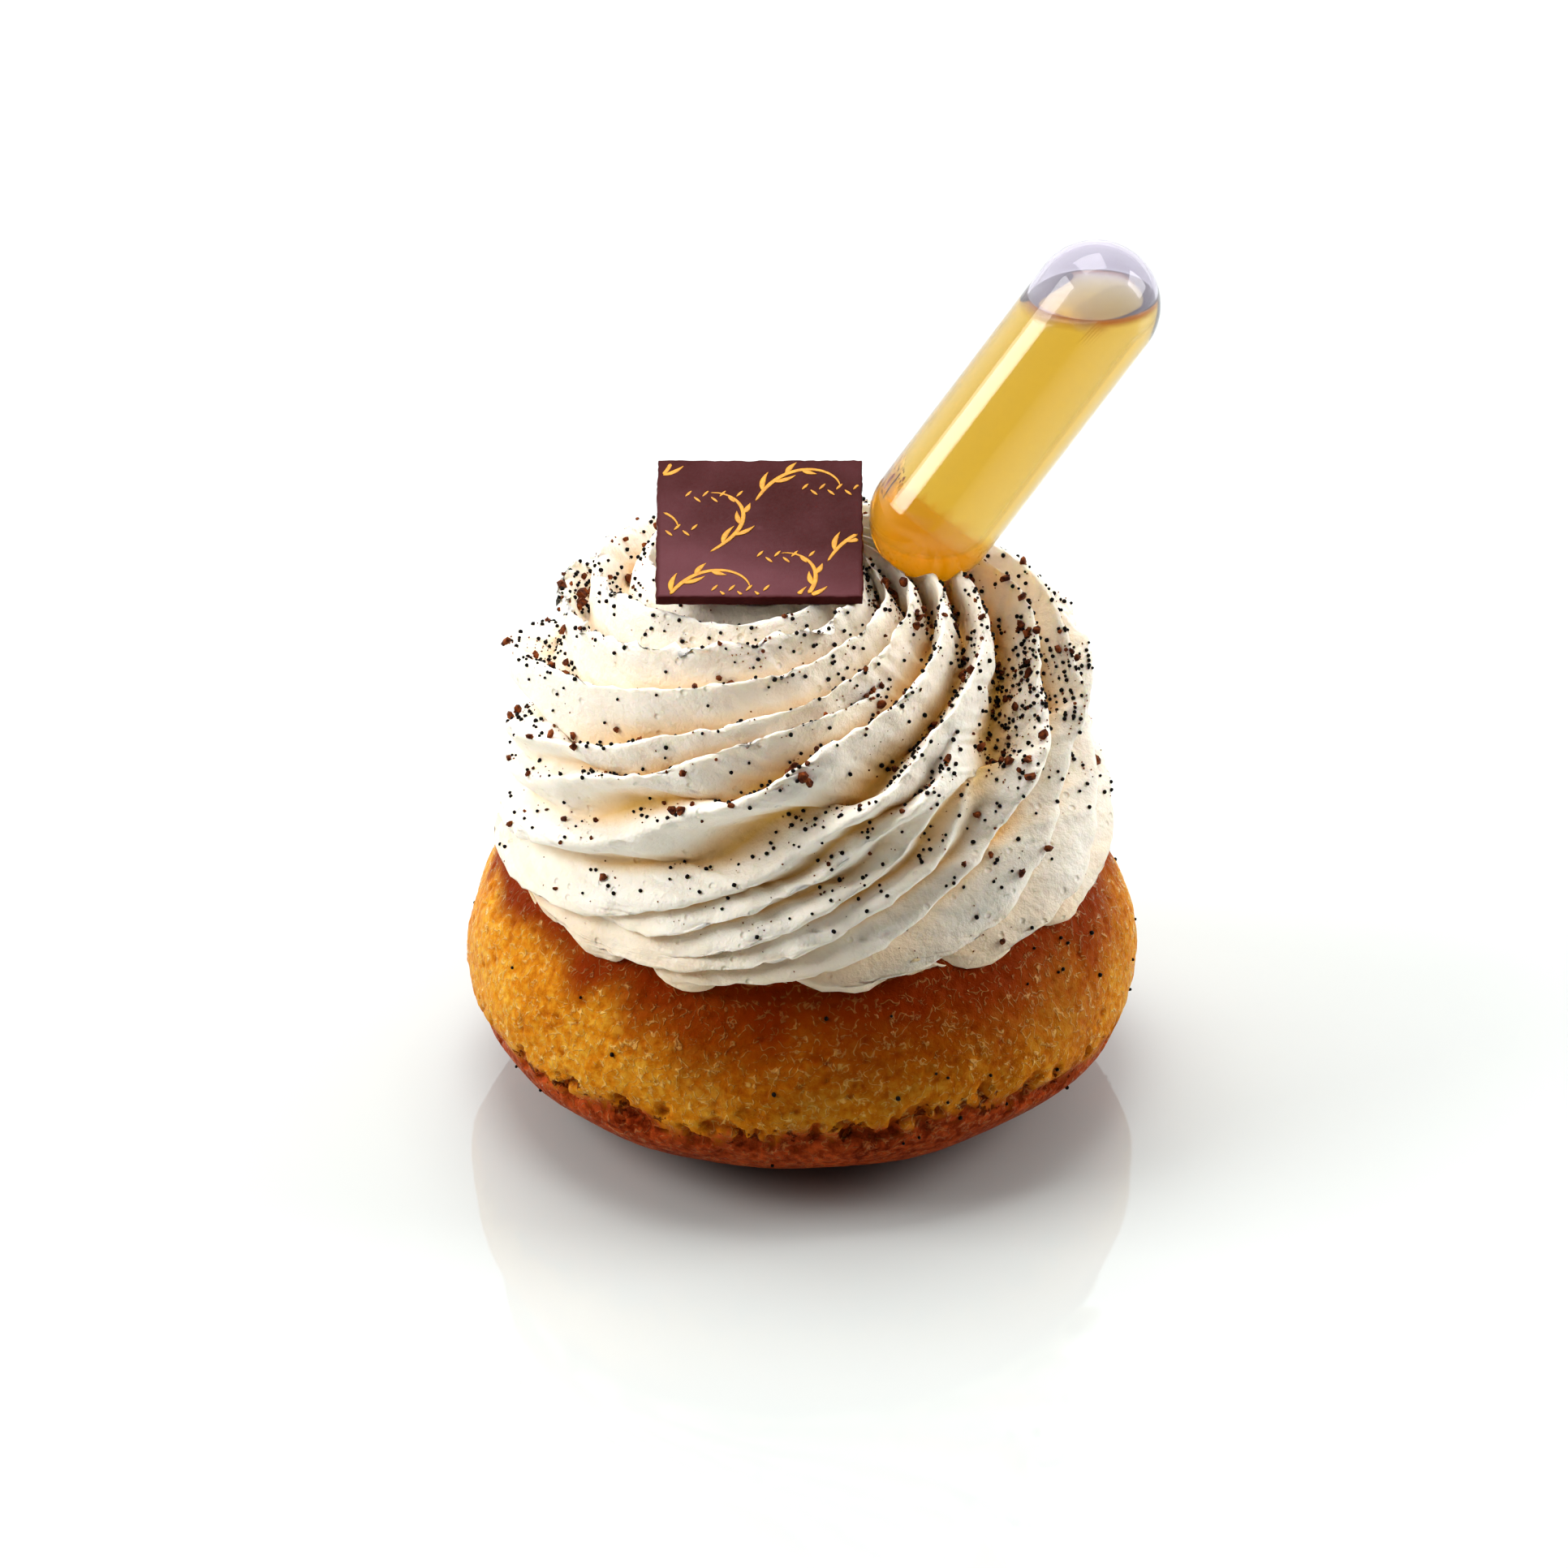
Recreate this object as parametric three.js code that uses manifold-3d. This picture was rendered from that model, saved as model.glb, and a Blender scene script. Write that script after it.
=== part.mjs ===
// Rum baba: a soaked cake, a piped cream swirl, a chocolate plaque and a pipette of rum.
// Millimetres, Z up, origin at the middle of the cake's flat foot, the front faces minus Y.
import * as THREE from 'three';
import { mergeVertices } from 'three/addons/utils/BufferGeometryUtils.js';
import Module from 'manifold-3d';

const wasm = await Module();
wasm.setup();

const DEG = Math.PI / 180;
// Gap left all round a piece that is pressed into another one
const CLEARANCE = 0.3;
const SEED = 20417;

// Cake: a rounded foot, the widest belt, then a shoulder that closes to a flat top
const CAKE_COLUMNS = 68;
const CAKE_RADIUS = 38.3;
const CAKE_FOOT_RADIUS = 15;
const CAKE_BELT_HEIGHT = 13.6;
const CAKE_TOP_HEIGHT = 31;
const CAKE_SHOULDER_RISE = 28;
const CAKE_LOWER_RINGS = 10;
const CAKE_UPPER_RINGS = 7;
// Uneven rise of the dough: waves round the cake, their climb for each millimetre, start and height
const CAKE_LUMPS = [
  { waves: 3, climb: 0, start: 0.9, height: 0.21 },
  { waves: 7, climb: 0.31, start: 2.1, height: 0.175 },
  { waves: 13, climb: -0.52, start: 0.4, height: 0.12 },
];
const CAKE_LUMPS_FULL_HEIGHT = 3;
// Torn lip where the dark crust starts, and the waves that make it waver and come and go
const CRUST_LIP_HEIGHT = 10.1;
const CRUST_LIP_WAVES = [
  { waves: 1, start: Math.PI, height: 1.4 },
  { waves: 5, start: 1.2, height: 0.5 },
  { waves: 11, start: 0, height: 0.35 },
];
const CRUST_LIP_WIDTH = 1.3;
const CRUST_LIP_DEPTH = 0.48;
const CRUST_LIP_DEPTH_CHANGE = 0.32;
const CRUST_LIP_DEPTH_WAVES = 9;
const CRUST_LIP_DEPTH_START = 2;

// Cream: the meridian that the ridge crests touch, as radius and height
const SWIRL_MERIDIAN = [
  [32.4, 27.0], [34.6, 27.4], [35.1, 31.2], [34.8, 36.0], [34.2, 40.5], [33.6, 44.0],
  [34.4, 49.4], [32.4, 53.2], [29.4, 57.0], [26.0, 60.2], [21.8, 62.8], [17.0, 64.4],
  [10.5, 65.4], [4.0, 65.7],
];
const SWIRL_PEAK_HEIGHT = 65.8;
const SWIRL_ROWS = 43;
// Rows lie closer near the cake, where the ridges turn fastest
const ROW_SPREAD = 0.24;
const SWIRL_FLOOR_HEIGHT = 27.4;
// Ridge crests round the swirl: the phase of each one, in degrees
const RIDGE_PHASES = [-222, -196, -169, -146, -135, -116, -90, -80, -68, -57, -43, -10, 23, 50, 78, 107];
// Valleys that join to one: the first and the last, counted from the first crest, where they start to join and
// where they have done so, on the way up or, for the first row, down, and how deep they are then
const JOINS = [
  { first: 6, last: 8, from: 9.5, to: 7.3, depth: 4.6 },
  { first: 7, last: 9, from: 15, to: 25, depth: 6.6 },
  { first: 6, last: 9, from: 24, to: 33, depth: 6.6 },
  { first: 3, last: 4, from: 34, to: 42, depth: 6.6 },
];
// Samples across one ridge, from its lower crest to the next crest above
const RIDGE_SAMPLES = [0, 0.18, 0.4, 0.68];
const VALLEY_SAMPLE = 0.4;
const RIDGE_DEPTH = 5.2;
const RIDGE_DEPTH_LIMIT = 6.6;
const RIDGE_USUAL_WIDTH = 21;
const RIDGE_WIDTH_POWER = 0.6;
const RIDGE_LOW_GAIN = 0.75;
const LEDGE_POWER = 0.85;
const FACE_ROUNDING = 0.6;
const FACE_POWER = 1.5;
// Ridges near the cake bulge like lobes
const LOBE_POWER = 2.4;
// Crests hang down near the cake and stand up near the top
const LEAN_FROM = 8;
const LEAN_TO = 24;
const LEAN_SHARE = 0.45;
const VALLEY_MIDDLE = 0.52;
const VALLEY_LEAN = 0.27;
// Turn of the ridges up the meridian, as way and degrees, and the uneven speed of the hand
const TWIST = [[5, -1], [9, 28], [18, 59], [31, 92], [45, 155], [70, 330]];
const HAND_DRIFT = 28;
const HAND_DRIFT_AT = 5;
const ANGLE_STEPS = 24;
// The cream's edge on the cake is a row of round lobes: its rise where they meet, its rounding and its reach
const LOBE_RISE = 4.2;
const LOBE_ROUNDING = 2.4;
const LOBE_FOOT = 1;
const LOBE_REACH = 7;
// Unsteady flow: waves round the swirl, and their turn in radians for each millimetre up
const SWIRL_WOBBLE = 0.45;
const WOBBLE_WAVES = [
  { waves: 3, climb: 0.21 },
  { waves: 5, climb: -0.33 },
];
const RIDGE_FADE_FROM = 13;
const RIDGE_FADE_TO = 4;
// The last turn of the nozzle ends a little behind the middle
const TAIL_HEIGHT = 3;
const TAIL_X = -4;
const TAIL_Y = 6;
const TAIL_SPREAD = 5.5;
const TAIL_STARTS_ABOVE = 50;
const TAIL_FULL_ABOVE = 60;

// Chocolate plaque, laid on the top of the swirl and tipped to the front
const PLAQUE_SIDE = 23;
const PLAQUE_THICKNESS = 1.2;
const PLAQUE_BEVEL = 0.2;
const PLAQUE_TIP = 14.7;
const PLAQUE_CENTRE = new THREE.Vector3(-4.6, -1, 68);

// Pipette: a thin clear capsule with a narrow stem below, leaning to the right
const PIPETTE_LOW = new THREE.Vector3(14.7, 2, 68.3);
const PIPETTE_HIGH = new THREE.Vector3(32.4, 6, 92.5);
const PIPETTE_RADIUS = 7.2;
const PIPETTE_WALL = 0.55;
const PIPETTE_COLUMNS = 28;
const PIPETTE_ARC_STEPS = 7;
const STEM_RADIUS = 1.8;
const STEM_BORE_RADIUS = 1;
const STEM_LENGTH = 12;
const RUM_GAP = 0.3;
const RUM_LEVEL_ABOVE_HIGH = 0.9;
const RUM_COLUMNS = 24;
const RUM_LAST_RING_SHARE = 0.05;

// Chocolate crumbs that lie on the cream
const CRUMB_TRIES = 420;
const CRUMB_COUNT = 64;
const CRUMB_RADIUS_MIN = 0.5;
const CRUMB_RADIUS_MAX = 0.95;
const CRUMB_SHAPE = [1, 0.75, 0.85];
// Share of its radius that a crumb's middle stands out of the cream, away from the swirl's middle
const CRUMB_RISE = 0.325;
const SWIRL_MIDDLE_HEIGHT = 39.4;
const CRUMB_MARGIN = 1.6;
// Part of a ledge that crumbs lie on, how far up they go, and how likely one stays there
const CRUMB_SAMPLE_FROM = 0.02;
const CRUMB_SAMPLE_SPAN = 0.3;
const CRUMB_LOWEST = 5;
const CRUMB_HIGHEST = 50;
const CRUMB_LIKELY = 0.25;
const CRUMB_LIKELY_HIGHER = 0.45;
const CRUMB_LIKELY_RIGHT = 0.3;

// Repeatable number between 0 and 1
let seedState = SEED;
function random() {
  seedState = (seedState * 1664525 + 1013904223) % 4294967296;
  return seedState / 4294967296;
}

function smoothstep(from, to, value) {
  const t = Math.min(Math.max((value - from) / (to - from), 0), 1);
  return t * t * (3 - 2 * t);
}

// Closed solid through rings of equal length, with a pole point at each end
function ringSolid(rings, firstPole, lastPole) {
  const count = rings[0].length;
  const points = rings.flat().concat([firstPole, lastPole]);
  const firstIndex = points.length - 2;
  const lastIndex = points.length - 1;
  const lastRing = (rings.length - 1) * count;
  const index = [];
  for (let j = 0; j < count; j += 1) {
    const next = (j + 1) % count;
    index.push(firstIndex, next, j);
    index.push(lastIndex, lastRing + j, lastRing + next);
    for (let i = 0; i < rings.length - 1; i += 1) {
      const a = i * count + j;
      const b = i * count + next;
      const rising = points[a].distanceTo(points[b + count]);
      const falling = points[b].distanceTo(points[a + count]);
      if (rising <= falling) {
        index.push(a, b, b + count, a, b + count, a + count);
      } else {
        index.push(a, b, a + count, b, b + count, a + count);
      }
    }
  }
  const geometry = new THREE.BufferGeometry();
  geometry.setAttribute('position', new THREE.Float32BufferAttribute(points.flatMap((p) => p.toArray()), 3));
  geometry.setIndex(index);
  return geometry;
}

// Ring solid of a profile of [radius, height] turned about Z, first and last point on the axis
function turnedSolid(profile, columns) {
  const inner = profile.slice(1, -1);
  const rings = inner.map(([radius, height]) => {
    const ring = [];
    for (let j = 0; j < columns; j += 1) {
      const angle = (2 * Math.PI * j) / columns;
      ring.push(new THREE.Vector3(radius * Math.cos(angle), radius * Math.sin(angle), height));
    }
    return ring;
  });
  const first = new THREE.Vector3(0, 0, profile[0][1]);
  const last = new THREE.Vector3(0, 0, profile[profile.length - 1][1]);
  return ringSolid(rings, first, last);
}

function toSolid(source) {
  const bare = new THREE.BufferGeometry();
  bare.setAttribute('position', source.getAttribute('position'));
  if (source.index) {
    bare.setIndex(source.index);
  }
  const welded = mergeVertices(bare, 1e-4);
  return new wasm.Manifold(new wasm.Mesh({
    numProp: 3,
    vertProperties: new Float32Array(welded.getAttribute('position').array),
    triVerts: new Uint32Array(welded.index.array),
  }));
}

function toGeometry(solid) {
  const mesh = solid.getMesh();
  const geometry = new THREE.BufferGeometry();
  geometry.setAttribute('position', new THREE.Float32BufferAttribute(mesh.vertProperties, 3));
  geometry.setIndex(Array.from(mesh.triVerts));
  geometry.computeVertexNormals();
  return geometry;
}

// Radius and height of the cake's side at a share of its lower or upper curve
function cakeLower(share) {
  const t = share * 90 * DEG;
  const radius = CAKE_FOOT_RADIUS + (CAKE_RADIUS - CAKE_FOOT_RADIUS) * Math.sin(t);
  return [radius, CAKE_BELT_HEIGHT * (1 - Math.cos(t))];
}

function cakeUpper(share) {
  const end = Math.asin((CAKE_TOP_HEIGHT - CAKE_BELT_HEIGHT) / CAKE_SHOULDER_RISE);
  const t = share * end;
  return [CAKE_RADIUS * Math.cos(t), CAKE_BELT_HEIGHT + CAKE_SHOULDER_RISE * Math.sin(t)];
}

function cakeProfile() {
  const profile = [];
  for (let i = 0; i <= CAKE_LOWER_RINGS; i += 1) {
    profile.push(cakeLower(i / CAKE_LOWER_RINGS));
  }
  for (let i = 1; i <= CAKE_UPPER_RINGS; i += 1) {
    profile.push(cakeUpper(i / CAKE_UPPER_RINGS));
  }
  return profile;
}

// Push of the cake's side at an angle and height: soft lumps, less the torn lip of the crust
function cakeRelief(angle, height) {
  let lumps = 0;
  for (const lump of CAKE_LUMPS) {
    lumps += lump.height * Math.sin(lump.waves * angle + lump.climb * height + lump.start);
  }
  let lip = CRUST_LIP_HEIGHT;
  for (const wave of CRUST_LIP_WAVES) {
    lip += wave.height * Math.sin(wave.waves * angle + wave.start);
  }
  const change = Math.sin(CRUST_LIP_DEPTH_WAVES * angle + CRUST_LIP_DEPTH_START);
  const depth = CRUST_LIP_DEPTH + CRUST_LIP_DEPTH_CHANGE * change;
  const bite = depth * Math.exp(-(((height - lip) / CRUST_LIP_WIDTH) ** 2));
  return lumps * smoothstep(0, CAKE_LUMPS_FULL_HEIGHT, height) - bite;
}

function cakeSolid(grow) {
  const rings = cakeProfile().map(([radius, height]) => {
    const ring = [];
    for (let j = 0; j < CAKE_COLUMNS; j += 1) {
      const angle = (2 * Math.PI * j) / CAKE_COLUMNS;
      const push = height > 0 ? cakeRelief(angle, height) : 0;
      const reach = radius + push + grow;
      const lift = height === CAKE_TOP_HEIGHT ? grow : 0;
      ring.push(new THREE.Vector3(reach * Math.cos(angle), reach * Math.sin(angle), height + lift));
    }
    return ring;
  });
  const top = new THREE.Vector3(0, 0, CAKE_TOP_HEIGHT + grow);
  return toSolid(ringSolid(rings, new THREE.Vector3(0, 0, 0), top));
}

const meridian = new THREE.SplineCurve(SWIRL_MERIDIAN.map(([r, z]) => new THREE.Vector2(r, z)));
const meridianLength = meridian.getLength();

// Turn of the ridges at a way up the meridian, straight between the given pairs
function twistAt(way) {
  const last = TWIST.length - 1;
  const next = Math.min(Math.max(TWIST.findIndex(([mark]) => mark > way), 1), last);
  const [fromWay, fromTurn] = TWIST[next - 1];
  const [toWay, toTurn] = TWIST[next];
  const share = Math.max((way - fromWay) / (toWay - fromWay), 0);
  return fromTurn + (toTurn - fromTurn) * share;
}

// Angle from the front at which a ridge phase lies, a way up the meridian
function swirlAngle(phase, way) {
  const target = phase + twistAt(way);
  let angle = target;
  for (let k = 0; k < ANGLE_STEPS; k += 1) {
    const lag = HAND_DRIFT * Math.cos((angle - HAND_DRIFT_AT) * DEG);
    const slope = 1 + HAND_DRIFT * DEG * Math.sin((angle - HAND_DRIFT_AT) * DEG);
    angle -= (angle - lag - target) / slope;
  }
  return angle;
}

// Widths of the valleys between crests in degrees, and how deep each one is
const valleys = RIDGE_PHASES.map((upper, k) => {
  const lower = k < RIDGE_PHASES.length - 1 ? RIDGE_PHASES[k + 1] : RIDGE_PHASES[0] + 360;
  const width = lower - upper;
  const depth = Math.min(RIDGE_DEPTH * (width / RIDGE_USUAL_WIDTH) ** RIDGE_WIDTH_POWER, RIDGE_DEPTH_LIMIT);
  return { lower, width, depth };
});

// Angles at which the valleys meet the cake, once round
const notches = valleys.map(({ lower, width }) => swirlAngle(lower - (VALLEY_MIDDLE + VALLEY_LEAN) * width, 0));

// Rise of the cream's edge, from 0 in the middle of a lobe to 1 at its notches
function lobeArch(angle) {
  const first = notches[0];
  const turned = first + ((((angle - first) % 360) + 360) % 360);
  const count = notches.filter((notch) => notch <= turned).length;
  const start = notches[count - 1];
  const end = count < notches.length ? notches[count] : first + 360;
  return Math.abs((2 * (turned - start)) / (end - start) - 1) ** LOBE_ROUNDING;
}

// Height of a crest above its two valleys, taken as their mean
function crestDepth(ridge) {
  const count = valleys.length;
  return (valleys[ridge % count].depth + valleys[(ridge + count - 1) % count].depth) / 2;
}

function ledgeCurve(share) {
  return Math.sin(share * 90 * DEG) ** LEDGE_POWER;
}

function faceCurve(share) {
  return FACE_ROUNDING * smoothstep(0, 1, share) + (1 - FACE_ROUNDING) * share ** FACE_POWER;
}

// Share of the depth at a place across a ridge: a short ledge on one side, a long face on the other
function valleyShare(place, valley, lean) {
  const below = place < valley;
  const standing = below ? ledgeCurve(place / valley) : 1 - faceCurve((place - valley) / (1 - valley));
  const hanging = below ? (place / valley) ** LOBE_POWER : ledgeCurve((1 - place) / (1 - valley));
  return (standing * (1 + lean) + hanging * (1 - lean)) / 2;
}

// Point of the cream's skin for a ridge, a sample across it and a way up the meridian
function swirlPoint(ridge, sample, way) {
  const { lower, width, depth } = valleys[ridge];
  const at = Math.min(way / meridianLength, 1);
  const crest = meridian.getPointAt(at);
  const along = meridian.getTangentAt(at);
  const lean = 2 * smoothstep(LEAN_FROM, LEAN_TO, way) - 1;
  const valley = VALLEY_MIDDLE - VALLEY_LEAN * lean;
  const place = sample < VALLEY_SAMPLE
    ? (sample / VALLEY_SAMPLE) * valley
    : valley + ((sample - VALLEY_SAMPLE) / (1 - VALLEY_SAMPLE)) * (1 - valley);
  const phase = lower - place * width;
  const angle = swirlAngle(phase, way);
  const bearing = (angle - 90) * DEG;
  const fade = smoothstep(RIDGE_FADE_TO, RIDGE_FADE_FROM, crest.x);
  const gain = fade * (RIDGE_LOW_GAIN + (1 - RIDGE_LOW_GAIN) * smoothstep(LEAN_FROM, LEAN_TO, way));
  let share = valleyShare(place, valley, lean);
  let full = depth;
  for (const row of JOINS.filter(({ first, last }) => ridge >= first && ridge <= last)) {
    const join = smoothstep(row.from, row.to, way);
    const end = valleys[row.last].lower;
    share += join * (valleyShare((end - phase) / (end - RIDGE_PHASES[row.first]), valley, lean) - share);
    full += join * (row.depth - full);
  }
  let wobble = 0;
  for (const wave of WOBBLE_WAVES) {
    wobble += SWIRL_WOBBLE * Math.sin(wave.waves * bearing + wave.climb * way);
  }
  const deep = full * gain * share - wobble * fade;
  const tall = crestDepth(ridge + 1) * (1 - place) + crestDepth(ridge) * place;
  const shift = LEAN_SHARE * lean * (1 - share) * tall * gain;
  const radius = crest.x - along.y * deep + along.x * shift;
  const lobe = 1 - smoothstep(0, LOBE_REACH, way);
  const rise = LOBE_RISE * lobeArch(angle) * lobe * smoothstep(0, LOBE_FOOT, way);
  const height = crest.y + (along.x * deep + along.y * shift) * (1 - lobe) + rise;
  const x = radius * Math.cos(bearing);
  const y = radius * Math.sin(bearing);
  const away = ((x - TAIL_X) ** 2 + (y - TAIL_Y) ** 2) / TAIL_SPREAD ** 2;
  const tail = TAIL_HEIGHT * Math.exp(-away) * smoothstep(TAIL_STARTS_ABOVE, TAIL_FULL_ABOVE, height);
  return new THREE.Vector3(x, y, height + tail);
}

function swirlSolid() {
  const rings = [];
  for (let i = 0; i <= SWIRL_ROWS; i += 1) {
    const share = i / SWIRL_ROWS;
    const way = meridianLength * share * (1 - ROW_SPREAD + ROW_SPREAD * share);
    const ring = [];
    for (let ridge = 0; ridge < RIDGE_PHASES.length; ridge += 1) {
      for (let k = RIDGE_SAMPLES.length - 1; k >= 0; k -= 1) {
        ring.push(swirlPoint(ridge, RIDGE_SAMPLES[k], way));
      }
    }
    rings.push(ring);
  }
  const floor = new THREE.Vector3(0, 0, SWIRL_FLOOR_HEIGHT);
  return toSolid(ringSolid(rings, floor, new THREE.Vector3(0, 0, SWIRL_PEAK_HEIGHT)));
}

// Square slab with a fine bevel, tipped and laid in its place, grown on every side
function plaqueGeometry(grow) {
  const half = PLAQUE_SIDE / 2 - PLAQUE_BEVEL;
  const square = new THREE.Shape();
  square.moveTo(-half, -half);
  square.lineTo(half, -half);
  square.lineTo(half, half);
  square.lineTo(-half, half);
  const slab = new THREE.ExtrudeGeometry(square, {
    depth: PLAQUE_THICKNESS - 2 * PLAQUE_BEVEL + 2 * grow,
    bevelEnabled: true,
    bevelThickness: PLAQUE_BEVEL,
    bevelSize: PLAQUE_BEVEL + grow,
    bevelSegments: 2,
  });
  slab.translate(0, 0, PLAQUE_BEVEL - PLAQUE_THICKNESS / 2 - grow);
  slab.rotateX(PLAQUE_TIP * DEG);
  slab.translate(PLAQUE_CENTRE.x, PLAQUE_CENTRE.y, PLAQUE_CENTRE.z);
  return slab;
}

const pipetteAxis = PIPETTE_HIGH.clone().sub(PIPETTE_LOW);
const pipetteSpan = pipetteAxis.length();
const pipetteTurn = new THREE.Quaternion().setFromUnitVectors(
  new THREE.Vector3(0, 0, 1),
  pipetteAxis.clone().normalize(),
);

function standAsPipette(geometry) {
  return geometry.applyQuaternion(pipetteTurn).translate(PIPETTE_LOW.x, PIPETTE_LOW.y, PIPETTE_LOW.z);
}

// Half circle arcs of a capsule, from the top pole down to a stem of the given radius
function capsuleProfile(radius, stemRadius) {
  const profile = [];
  for (let i = 0; i <= PIPETTE_ARC_STEPS; i += 1) {
    const t = (i / PIPETTE_ARC_STEPS) * 90 * DEG;
    profile.push([radius * Math.sin(t), pipetteSpan + radius * Math.cos(t)]);
  }
  const end = Math.acos(stemRadius / radius);
  for (let i = 0; i <= PIPETTE_ARC_STEPS; i += 1) {
    const t = (i / PIPETTE_ARC_STEPS) * end;
    profile.push([radius * Math.cos(t), -radius * Math.sin(t)]);
  }
  return profile;
}

function pipetteSolid() {
  const stemTip = -PIPETTE_RADIUS - STEM_LENGTH;
  const outer = capsuleProfile(PIPETTE_RADIUS, STEM_RADIUS);
  const inner = capsuleProfile(PIPETTE_RADIUS - PIPETTE_WALL, STEM_BORE_RADIUS).reverse();
  const profile = outer.concat([[STEM_RADIUS, stemTip], [STEM_BORE_RADIUS, stemTip]], inner);
  return toSolid(standAsPipette(turnedSolid(profile.reverse(), PIPETTE_COLUMNS)));
}

// Everything that the pipette takes up in the cream, with the clearance round it
function pipetteEnvelope(grow) {
  const stemTip = -PIPETTE_RADIUS - STEM_LENGTH - grow;
  const outer = capsuleProfile(PIPETTE_RADIUS + grow, STEM_RADIUS + grow);
  const profile = outer.concat([[STEM_RADIUS + grow, stemTip], [0, stemTip]]);
  return toSolid(standAsPipette(turnedSolid(profile.reverse(), PIPETTE_COLUMNS)));
}

// The drink: the inside of the capsule, cut by its level surface
function rumSolid() {
  const radius = PIPETTE_RADIUS - PIPETTE_WALL - RUM_GAP;
  const arc = capsuleProfile(radius, radius * RUM_LAST_RING_SHARE).slice(0, -1);
  const profile = arc.concat([[0, -radius]]);
  const body = toSolid(standAsPipette(turnedSolid(profile.reverse(), RUM_COLUMNS)));
  const level = PIPETTE_HIGH.z + RUM_LEVEL_ABOVE_HIGH;
  const side = 4 * PIPETTE_RADIUS;
  const air = new THREE.BoxGeometry(side, side, side);
  air.translate(PIPETTE_HIGH.x, PIPETTE_HIGH.y, level + side / 2);
  return body.subtract(toSolid(air));
}

// True where a crumb would touch the plaque or the pipette
function nearTopping(point) {
  const across = new THREE.Vector3(1, 0, 0);
  const local = point.clone().sub(PLAQUE_CENTRE).applyAxisAngle(across, -PLAQUE_TIP * DEG);
  const reach = PLAQUE_SIDE / 2 + CRUMB_MARGIN;
  const onPlaque = Math.abs(local.x) < reach && Math.abs(local.y) < reach;
  const axis = new THREE.Line3(PIPETTE_LOW, PIPETTE_HIGH);
  const nearest = axis.closestPointToPoint(point, true, new THREE.Vector3());
  return onPlaque || nearest.distanceTo(point) < PIPETTE_RADIUS + CRUMB_MARGIN;
}

// Crumbs on the ledges of the ridges, more of them to the right and towards the top
function crumbSolids() {
  const places = [];
  for (let i = 0; i < CRUMB_TRIES && places.length < CRUMB_COUNT; i += 1) {
    const ridge = Math.floor(random() * RIDGE_PHASES.length);
    const sample = CRUMB_SAMPLE_FROM + CRUMB_SAMPLE_SPAN * random();
    const way = CRUMB_LOWEST + (CRUMB_HIGHEST - CRUMB_LOWEST) * random();
    const point = swirlPoint(ridge, sample, way);
    const likely = CRUMB_LIKELY
      + CRUMB_LIKELY_HIGHER * (way / CRUMB_HIGHEST)
      + CRUMB_LIKELY_RIGHT * (point.x / CAKE_RADIUS);
    const apart = places.every((place) => place.point.distanceTo(point) > 2 * CRUMB_RADIUS_MAX);
    if (random() < likely && apart && !nearTopping(point)) {
      const radius = CRUMB_RADIUS_MIN + (CRUMB_RADIUS_MAX - CRUMB_RADIUS_MIN) * random() ** 2;
      places.push({ point, radius });
    }
  }
  const middle = new THREE.Vector3(0, 0, SWIRL_MIDDLE_HEIGHT);
  return places.map(({ point, radius }) => {
    const crumb = new THREE.OctahedronGeometry(radius, 0);
    crumb.scale(...CRUMB_SHAPE);
    crumb.rotateX(random() * Math.PI);
    crumb.rotateZ(random() * Math.PI);
    const out = point.clone().sub(middle).normalize().multiplyScalar(radius * CRUMB_RISE);
    crumb.translate(point.x + out.x, point.y + out.y, point.z + out.z);
    return toSolid(crumb);
  });
}

function creamSolid() {
  const room = [cakeSolid(CLEARANCE), toSolid(plaqueGeometry(CLEARANCE)), pipetteEnvelope(CLEARANCE)];
  const topped = wasm.Manifold.union([swirlSolid(), ...crumbSolids()]);
  const cut = wasm.Manifold.difference([topped, ...room]);
  const pieces = cut.decompose();
  return pieces.reduce((best, piece) => (piece.volume() > best.volume() ? piece : best));
}

const group = new THREE.Group();
group.name = 'rum_baba';

function addNode(name, geometry, settings) {
  const mesh = new THREE.Mesh(geometry, new THREE.MeshStandardMaterial(settings));
  mesh.name = name;
  group.add(mesh);
}

addNode('cake', toGeometry(cakeSolid(0)), { color: 0xb8792c, roughness: 0.5, metalness: 0 });
addNode('cream_swirl', toGeometry(creamSolid()), { color: 0xf7f1e2, roughness: 0.6, metalness: 0 });
addNode('plaque', toGeometry(toSolid(plaqueGeometry(0))), { color: 0x4a2522, roughness: 0.4, metalness: 0 });
addNode('pipette', toGeometry(pipetteSolid()), {
  color: 0xf2f2f4,
  roughness: 0.1,
  metalness: 0,
  transparent: true,
  opacity: 0.35,
});
addNode('rum', toGeometry(rumSolid()), { color: 0xe0a83a, roughness: 0.1, metalness: 0 });

export default group;
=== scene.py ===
import math

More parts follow.
